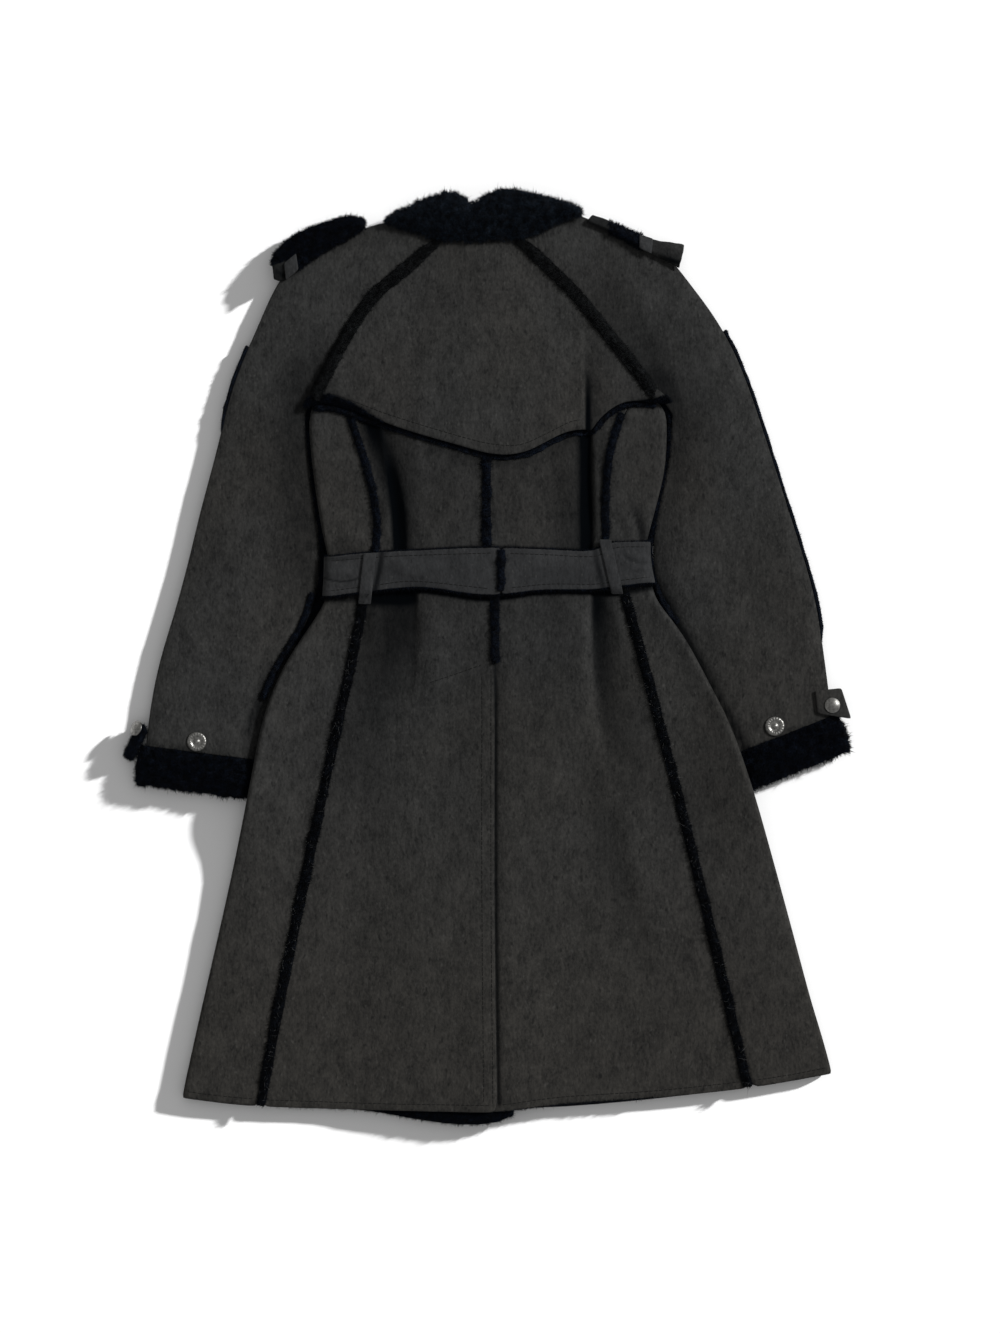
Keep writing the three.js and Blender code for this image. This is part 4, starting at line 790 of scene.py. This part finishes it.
CLOTH = material("coat_cloth", NAPPED, *CLOTH_BUMP,
                 Sheen_Weight=0.008, Sheen_Roughness=0.6, Specular_IOR_Level=0.02)
BELT_CLOTH = material(
    "belt_cloth", NAPPED, *CLOTH_BUMP,
    {"Ground": (0.012, 0.0124, 0.013, 1), "Bloom": (0.038, 0.0393, 0.041, 1),
     "Warm": (0.037, 0.0374, 0.038, 1)},
    Sheen_Weight=0.04, Sheen_Roughness=0.55, Specular_IOR_Level=0.08,
)
FUR, COLLAR_FUR, SEAM_FUR, DARK_FUR = (pile_material(name) for name in PILE_LOOKS)
NICKEL = material("snap_metal", FINE_WEAR, *METAL_BUMP,
                  {"Clean": (0.3, 0.295, 0.28, 1), "Worn": (0.1, 0.098, 0.092, 1)}, Metallic=1.0)
THREAD, FRAY = (thread_material(name) for name in THREAD_LOOKS)


def dress(obj, *materials, choose=None, slot="cloth"):
    """Gives an object its materials. choose picks one from each face's normal."""
    obj.data.materials.clear()
    for made in materials:
        obj.data.materials.append(made)
    for face in obj.data.polygons:
        face.material_index = choose(face.normal) if choose else 0
    return obj


CLOTH_SHOWS, CUT_EDGE = 0.3, -0.55  # how far a face looks up, or towards the hem


def cloth_up(normal):
    """The face cloth is on the upper side, and the pile shows on the cut edges and below."""
    return 0 if normal.z > CLOTH_SHOWS else 1


def cloth_down(normal):
    """The same for a piece that lies with its face cloth below."""
    return 0 if normal.z < -CLOTH_SHOWS else 1


def cloth_round(normal):
    """A piece that turns under keeps its face cloth outside all round; its hem is a cut edge."""
    return 1 if normal.y < CUT_EDGE else 0


def stand_for(obj, node):
    """Lets an object take its solid's place, and keeps it by the solid's name."""
    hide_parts(node)
    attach(obj, "root")
    pieces[node] = obj
    return obj


# ---------------------------------------------------------------- the coat's cloth
LOOP_ENDS = {"left": (-7, 1), "right": (-3, -1)}  # how far a belt loop is drawn out, up and down
pieces = {}
for side in SIDES:
    for part, lift, shades, choose in (
        ("back", body_relief, BODY_SHADE, cloth_up),
        ("side", side_relief, BODY_SHADE, cloth_round),
        ("sleeve_back", sleeve_relief, SLEEVE_SHADE, cloth_up),
        ("front", None, None, cloth_down),
        ("sleeve_front", None, None, cloth_down),
    ):
        node = f"{part}_{side}"
        crease = SLEEVE_CREASE if part.startswith("sleeve") else EDGE_CREASE
        wall = finer(f"{node}_cloth", node, LEVELS[part], crease)
        if lift:
            raise_top(wall, lift, shades)
        stand_for(dress(wall, CLOTH, FUR, choose=choose), node)
yoke = finer("yoke_cloth", "yoke", LEVELS["yoke"])
raise_top(yoke, yoke_relief, YOKE_SHADE)
stand_for(dress(yoke, CLOTH, FUR, choose=cloth_up), "yoke")

for side in SIDES:
    belt = finer(f"belt_{side}_cloth", f"belt_{side}", LEVELS["belt"])
    raise_top(belt, belt_relief, BELT_SHADE)
    stand_for(dress(belt, BELT_CLOTH), f"belt_{side}")
    for node in (f"belt_loop_{side}", f"epaulette_keeper_{side}", f"cuff_strap_{side}"):
        piece = finer(f"{node}_cloth", node, SMALL_LEVEL)
        raise_all(piece, flat_relief)
        if node.startswith("belt_loop"):
            draw_out(piece, *LOOP_ENDS[side])
        stand_for(dress(piece, CLOTH if node.startswith("cuff") else BELT_CLOTH), node)
# the left cuff strap has flipped over and shows its pile
dress(pieces["cuff_strap_left"], FUR, slot="fur")
pile(pieces["cuff_strap_left"], "epaulette", seed=45)
for node, choose in (("collar_stand", cloth_up), ("collar_front", cloth_down)):
    stand_for(dress(finer(f"{node}_cloth", node, SMALL_LEVEL), CLOTH, FUR, choose=choose), node)

# ---------------------------------------------------------------- pile
# how high the lumps of a furred piece are, and how large
WELT_LUMPS, EDGE_LUMPS, TRIM_LUMPS = (1.9, 8), (0.9, 5), (1.4, 7)
COLLAR_LUMPS, CUFF_LUMPS, EPAULETTE_LUMPS = (1.8, 8), (2.4, 8), (0.8, 8)
FUR_SWELL = 0.4             # how far the skin of the collar and cuffs moves out
FRAY_SEED = 40              # added to a seam's own seed, for its frayed threads
# raw seams: what they lie on, their pile, how far they are drawn out, up and down, how far their skin
# swells, and how far they lie aside
RAW_SEAMS = {
    "raglan_welt_left": (flat_relief, "welt", 8, 14, -0.5, 0),
    "raglan_welt_right": (flat_relief, "welt", 8, 15, -0.5, 0),
    "princess_upper_welt_left": (body_relief, "welt", 11, 9, -0.3, 0),
    "princess_upper_welt_right": (body_relief, "welt", 8, 8, -0.3, 0),
    "princess_lower_welt_left": (body_relief, "welt", 9, 2, -0.4, 0),
    "princess_lower_welt_right": (body_relief, "welt", 9, 1, -0.4, 0),
    "back_upper_welt": (body_relief, "welt", 7, 5, -0.3, 0),
    "back_lower_welt": (body_relief, "welt", 7, 0, 0, 0),
    "underarm_welt_left": (flat_relief, "thin", 6, 0, 0, 0),
    "underarm_welt_right": (flat_relief, "short", 2, 2, -1.6, -3),
    "edge_welt_left": (None, "short", 0, 0, -0.3, 1.6),
    "edge_welt_right": (None, "short", 0, 0, -0.3, -1.8),
    "belt_welt": (body_relief, "thin", 1, 1, 0.2, 0),
}
# how far the upper end of a seam turns in below the collar, over how long a run
TURNED_IN = {"raglan_welt_left": 10, "raglan_welt_right": -10}
TURN_RUN = 26
# below these levels a sleeve's outer seam is tucked in between its two layers: level, run, how far
TUCKED_BELOW = {"edge_welt_left": (275, 40, 5.5), "edge_welt_right": (38, 30, -5.5)}
for seed, (node, (lift, kind, up, down, swell, aside)) in enumerate(RAW_SEAMS.items(), start=20):
    long_seam = node.startswith(("edge", "princess_lower"))
    base = finer(f"{node}_pile", node, SMALL_LEVEL if long_seam else SEAM_LEVEL, swell=swell)
    if lift:
        raise_all(base, lift)
    draw_out(base, up, down)
    rough(base, *(EDGE_LUMPS if node.startswith("edge") else WELT_LUMPS), seed)
    co = corners(base.data)
    turn = smooth((co[:, 1] - co[:, 1].max()) / (TURN_RUN * MM) + 1) ** 2
    co[:, 0] += (aside + TURNED_IN.get(node, 0) * turn) * MM
    if node in TUCKED_BELOW:
        level, run, by = TUCKED_BELOW[node]
        co[:, 0] += smooth((level - on_table(co)[1]) / run) * by * MM
    set_corners(base.data, co)
    looks = FUR
    if node.startswith("raglan"):
        looks = SEAM_FUR
    if node.startswith("princess_lower"):
        looks = DARK_FUR
    stand_for(dress(base, looks, slot="fur"), node)
    pile(base, kind, seed, finish=looks)
    if node.startswith("princess_lower"):
        pile(base, "fray", seed + FRAY_SEED, finish=FRAY)

# the raw fur along the yoke's edge is thick near its left corner and thin along the rest
TRIM_SEED = 41
THINS_FROM, THIN_RUN = -160, 60
THICKENS_FROM, THICK_RUN, THICKER = 110, 30, 0.35
CORNER_SWELL, THINNER, THIN_UP = 0.9, 2.0, 2.4  # the thin stretch also lies this much higher
trim = finer("yoke_trim_pile", "yoke_trim", SEAM_LEVEL)
raise_all(trim, body_relief)
rough(trim, *TRIM_LUMPS, TRIM_SEED)
co = corners(trim.data)
x, y = on_table(co)
thin_here = smooth((x - THINS_FROM) / THIN_RUN) * (1 - THICKER * smooth((x - THICKENS_FROM) / THICK_RUN))
co -= normals(trim.data) * (thin_here * THINNER - CORNER_SWELL)[:, None] * MM
co[:, 1] += thin_here * THIN_UP * MM
set_corners(trim.data, co)
stand_for(dress(trim, FUR, slot="fur"), "yoke_trim")
pile(trim, "thin", TRIM_SEED)

# the two lower corners of the yoke: places along X, and the level below which raw fur covers the cloth
LEFT_CORNER = ((-212, -197, -178, -153, -131, -110), (280, 288, 289.5, 280, 266, 255))
RIGHT_CORNER = ((148, 160, 174, 188, 200), (272, 280, 283, 288, 291))
LEFT_CORNER_ENDS, RIGHT_CORNER_BEGINS, CORNER_FACES = -118, 148, -0.4


def furred_corners(x, y, normal):
    """The two lower corners of the yoke, where raw fur covers the cloth."""
    left = (y < np.interp(x, *LEFT_CORNER)) & (x < LEFT_CORNER_ENDS)
    right = (y < np.interp(x, *RIGHT_CORNER)) & (x > RIGHT_CORNER_BEGINS)
    return (left | right) & (normal[:, 2] > CORNER_FACES)


pile(pieces["yoke"], "corner", seed=42, keep=furred_corners)

for seed, (node, kind, looks) in enumerate((("collar_fall", "collar", COLLAR_FUR), ("cuff_left", "cuff", FUR),
                                            ("cuff_right", "cuff", FUR)), start=11):
    base = finer(f"{node}_pile", node, SMALL_LEVEL if kind == "cuff" else SEAM_LEVEL, swell=FUR_SWELL)
    rough(base, *(CUFF_LUMPS if kind == "cuff" else COLLAR_LUMPS), seed)
    stand_for(dress(base, looks, slot="fur"), node)
    pile(base, kind, seed, finish=looks)


# the left epaulette shows its cloth west of a place and below a sloping line: level, place, run to rise
CLOTH_WEST, CLOTH_LEVEL, CLOTH_PLACE, CLOTH_RUN = -214, 432, -238.7, 3
RIGHT_PILE = (128, 166)     # where the right epaulette is turned pile side up


def left_end_cloth(x, y):
    """The folded end of the left epaulette, where its face cloth shows."""
    return (x < CLOTH_WEST) & (y < CLOTH_LEVEL + (x - CLOTH_PLACE) / CLOTH_RUN)


def right_pile(x, y):
    """The stretch of the right epaulette that is turned pile side up."""
    return (x > RIGHT_PILE[0]) & (x < RIGHT_PILE[1])


# painted shade: the cloth ends of the epaulettes are painted darker, with a painted dark fold each
EPAULETTE_SHADE = [
    (16, 16, 0.7, (-242, 430, 1), (-232, 422, 1), (-222, 424, 1)),
    (2.5, 2.5, 0.9, (-236, 424, 0.5), (-226, 419, 1), (-216, 416, 1)),
    (16, 16, 0.6, (106, 484, 1), (120, 478, 1), (130, 474, 1)),
    (16, 16, 0.5, (180, 452, 1), (196, 440, 1), (212, 430, 1)),
    (2.5, 3.5, 0.95, (186, 440, 0.6), (198, 436, 1), (210, 432, 0.8)),
]
for seed, (node, is_pile) in enumerate((("epaulette_left", lambda x, y: ~left_end_cloth(x, y)),
                                        ("epaulette_right", right_pile)), start=14):
    base = finer(f"{node}_pile", node, SMALL_LEVEL)
    rough(base, *EPAULETTE_LUMPS, seed)
    dress(base, FUR, CLOTH, slot="fur" if node.endswith("left") else "cloth")
    middles = np.array([face.center for face in base.data.polygons])
    piled = is_pile(*on_table(middles))
    for face, furry in zip(base.data.polygons, piled):
        face.material_index = 0 if furry else 1
    # painted shade on the cloth ends of the epaulettes, stored on the mesh
    painted_shade = base.data.attributes.new("painted_shade", "FLOAT", "POINT")
    painted_shade.data.foreach_set("value", shade_at(EPAULETTE_SHADE, *on_table(corners(base.data))))
    stand_for(base, node)
    pile(base, "epaulette", seed, keep=lambda x, y, normal: is_pile(x, y) & (normal[:, 2] > FACES_UP))


# ---- the raw seam under each arm, which fills the slit between sleeve and side: level, sleeve's edge,
# side's edge
UNDERARM_SEAM = {
    "left": [(290, -199, -190), (278, -206, -197), (268, -209, -200), (250, -206, -200), (226, -203, -197),
             (198, -199.5, -193), (170, -196.5, -189), (141, -191.5, -185), (117, -192, -179),
             (92, -194, -178),
             (70, -196, -178), (55, -199, -186), (40, -205, -195), (24, -213, -206), (8, -222, -218)],
    "right": [(288, 178, 186), (271, 190, 199), (250, 191, 199), (226, 190, 198), (198, 184, 193),
              (170, 178, 186), (141, 172, 181), (122, 167, 177), (100, 170, 179), (82, 174, 183),
              (64, 179, 188), (48, 185, 193), (30, 193, 199)],
}
SEAM_LOW, SEAM_HIGH, SEAM_CROWN = 0.5, 3.2, 1.4
SEAM_STEP, SEAM_FACES = 5.0, 0.2


def seam_strip(name, rows):
    """A low crowned strip of raw seam from rows of level and two edges."""
    line = smooth_path(rows, SEAM_STEP)
    bm = bmesh.new()
    rings = []
    for y, first, last in line:
        crown = ((first + last) / 2, SEAM_HIGH + SEAM_CROWN)
        ring = [(first, SEAM_LOW), (last, SEAM_LOW), (last, SEAM_HIGH), crown, (first, SEAM_HIGH)]
        rings.append([bm.verts.new((*table_place(x, y), z * MM)) for x, z in ring])
    for upper, lower in zip(rings, rings[1:]):
        for k in range(len(upper)):
            n = (k + 1) % len(upper)
            bm.faces.new((upper[k], upper[n], lower[n], lower[k]))
    bm.faces.new(reversed(rings[0]))
    bm.faces.new(rings[-1])
    bmesh.ops.recalc_face_normals(bm, faces=bm.faces)
    mesh = bpy.data.meshes.new(name)
    bm.to_mesh(mesh)
    bm.free()
    mesh.shade_smooth()
    return link(name, mesh)


for seed, side in enumerate(SIDES, start=52):
    strip = seam_strip(f"underarm_seam_{side}", UNDERARM_SEAM[side])
    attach(dress(strip, FUR, slot="fur"), "root")
    pile(strip, "underarm", seed, keep=lambda x, y, normal: normal[:, 2] > SEAM_FACES)


# how far a face looks up or down, and how far it looks towards the collar or the hem
HEM_FACES, BELT_FACES, EDGE_FACES = -0.3, -0.6, 0.45
VENT_SIDE, VENT_BELOW = 178, -440  # the stretch of hem beside the vent


def past_the_hem(x, y, normal):
    """The strip of the left front that shows below the back's hem, and its edge."""
    return (y < HEM_SHOWS) & (normal[:, 2] > HEM_FACES)


def lower_edge(x, y, normal):
    return (normal[:, 1] < -EDGE_FACES) & (normal[:, 2] > BELT_FACES)


def upper_edge(x, y, normal):
    return (normal[:, 1] > EDGE_FACES) & (normal[:, 2] > BELT_FACES)


def near_vent(x, y, normal):
    """The hem's cut edge to the right of the vent, where some pile shows."""
    return (x < VENT_SIDE) & (y < VENT_BELOW) & (normal[:, 1] < -EDGE_FACES)


pile(pieces["front_left"], "hem", seed=31, keep=past_the_hem)
pile(pieces["back_right"], "thin", seed=36, keep=near_vent)
for seed, side in enumerate(SIDES, start=32):
    pile(pieces[f"belt_{side}"], "belt_low", seed, keep=lower_edge)
    pile(pieces[f"belt_{side}"], "belt_top", seed + 2, keep=upper_edge)

# ---------------------------------------------------------------- stitching
SEWN = {
    "yoke": [("yoke_stitches", [(-200, 283), (-180, 290), (-160, 285), (-110, 266), (-32, 242),
                                (4, 234), (32, 234), (62, 247), (86, 259), (100, 261)])],
    "back_left": [("vent_stitches", [(-1, -12), (-1, -260), (1, -490)]),
                  ("vent_second_stitches", [(-11, -20), (-11, -260), (-9, -488)]),
                  ("vent_top_stitches", [(-68, -27), (-38, -17), (-10, -7)]),
                  ("hem_left_stitches", [(-249, -486), (-134, -489.5), (-2, -491)])],
    "back_right": [("hem_right_stitches", [(12, -491), (75, -483), (179, -476), (280, -465.5)])],
    "side_left": [("hem_side_left_stitches", [(-335, -477), (-300, -481.5), (-262, -485)])],
    "side_right": [("hem_side_right_stitches", [(292, -464), (330, -458), (368, -450.5)])],
    "belt_left": [("belt_left_low_stitches", [(-182, 73), (-127, 80), (-83, 84), (-4, 76)]),
                  ("belt_left_top_stitches", [(-182, 106), (-127, 110.5), (-83, 112.5), (0, 115)])],
    "belt_right": [("belt_right_low_stitches", [(22, 77), (64, 81), (112, 81), (140, 85), (174, 89)]),
                   ("belt_right_top_stitches", [(20, 114.5), (64, 113), (112, 111.5), (135, 121),
                                                (174, 122)])],
}
for node, rows in SEWN.items():
    for name, path in rows:
        stitches(name, [pieces[node]], path)

# ---------------------------------------------------------------- snaps
# turned profiles from the axis outwards and down: radius, height
RING = [(0, 2.6), (1.4, 2.5), (2.3, 2.0), (3.0, 1.2), (5.0, 1.2), (6.0, 1.8), (6.6, 2.2), (7.4, 2.3),
        (8.4, 2.3), (9.4, 2.2), (10.2, 1.8), (10.8, 1.1), (11, 0.5), (11, 0), (0, 0)]
RING_MARKS = (18, 6.6, 9.4, 0.45)  # plain ticks: how many, from and to which radius, how high
DOME = [(0, 3.2), (2.2, 3.1), (4.4, 2.6), (6.2, 1.9), (7.2, 1.3), (7.8, 1.3), (8.5, 0.9), (8.5, 0), (0, 0)]
FACING = {"strap_snap_left": Vector((-0.64, 0.3, 0.71)).normalized()}
SNAP_AROUND = 72


def seat_of(node, faces):
    """The middle of a snap's underside: of those of its corners that lie lowest along its axis."""
    co = [v.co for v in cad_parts[node].data.vertices]
    least = min(c.dot(faces) for c in co)
    low = [c for c in co if c.dot(faces) < least + MERGE * MM]
    low, high = (Vector([limit(c[k] for c in low) for k in range(3)]) for limit in (min, max))
    return (low + high) / 2


for node in ("ring_snap_left", "ring_snap_right", "strap_snap_left", "strap_snap_right"):
    ring = node.startswith("ring")
    faces = FACING.get(node, Vector((0, 0, 1)))
    snap = turned(f"{node}_metal", RING if ring else DOME, SNAP_AROUND, RING_MARKS if ring else None)
    place = Vector((0, 0, 1)).rotation_difference(faces).to_matrix().to_4x4()
    place.translation = seat_of(node, faces)
    snap.data.transform(place)
    stand_for(dress(snap, NICKEL, slot="metal"), node)

# ---------------------------------------------------------------- floor, light and camera
CAMERA_OVER = table_place(8.8, -9.35)
CAMERA_HIGH = 4.0
FRAMED_AT = 0.012           # height of the plane that is FRAMED_LENGTH long in the frame
FRAMED_LENGTH = 1.4663
SENSOR = 24.0
FLOOR_SIZE, FLOOR_AT = 30, -0.0004
FLOOR_COLOUR, FLOOR_ROUGH = (0.9, 0.9, 0.9, 1), 0.95
SKY = 0.37
FROM = math.radians(28)     # the lamps stand to the upper right
LOW_LAMP = {"height": math.radians(17), "power": 8.8, "width": math.radians(2.5)}   # lights the floor
SOFT_LAMP = {"height": math.radians(38), "power": 2.95, "width": math.radians(12)}   # lights the coat


def make_floor():
    bpy.ops.mesh.primitive_grid_add(
        x_subdivisions=2, y_subdivisions=2, size=FLOOR_SIZE, location=(0, 0, FLOOR_AT)
    )
    floor = bpy.context.object
    floor.name = "floor"
    paper = bpy.data.materials.new("pale_floor")
    paper.use_nodes = True
    shader = paper.node_tree.nodes["Principled BSDF"]
    shader.inputs["Base Color"].default_value = FLOOR_COLOUR
    shader.inputs["Roughness"].default_value = FLOOR_ROUGH
    shader.inputs["Specular IOR Level"].default_value = 0.0
    floor.data.materials.append(paper)
    return floor


def make_lamp(name, look, floor, only_floor):
    """A far lamp that lights the floor alone, or everything but the floor."""
    sun = bpy.data.lights.new(name, "SUN")
    sun.energy, sun.angle = look["power"], look["width"]
    lamp = bpy.data.objects.new(name, sun)
    bpy.context.scene.collection.objects.link(lamp)
    level = math.cos(look["height"])
    towards = Vector((math.cos(FROM) * level, math.sin(FROM) * level, math.sin(look["height"])))
    lamp.rotation_euler = towards.to_track_quat("Z", "Y").to_euler()
    lit = bpy.data.collections.new(f"{name}_lights")
    lit.objects.link(floor)
    if not only_floor:
        lit.collection_objects[0].light_linking.link_state = "EXCLUDE"
    lamp.light_linking.receiver_collection = lit


def make_sky():
    world = bpy.data.worlds.new("studio")
    world.use_nodes = True
    world.node_tree.nodes["Background"].inputs["Color"].default_value = (1, 1, 1, 1)
    world.node_tree.nodes["Background"].inputs["Strength"].default_value = SKY
    bpy.context.scene.world = world
    bpy.context.scene.view_settings.view_transform = "Standard"
    bpy.context.scene.view_settings.look = "None"


def make_camera():
    lens = bpy.data.cameras.new("camera")
    lens.sensor_fit = "VERTICAL"
    lens.sensor_height = SENSOR
    lens.lens = SENSOR * (CAMERA_HIGH - FRAMED_AT) / FRAMED_LENGTH
    camera = bpy.data.objects.new("camera", lens)
    bpy.context.scene.collection.objects.link(camera)
    camera.location = (*CAMERA_OVER, CAMERA_HIGH)
    bpy.context.scene.camera = camera


stage = make_floor()
make_lamp("low_lamp", LOW_LAMP, stage, only_floor=True)
make_lamp("soft_lamp", SOFT_LAMP, stage, only_floor=False)
make_sky()
make_camera()
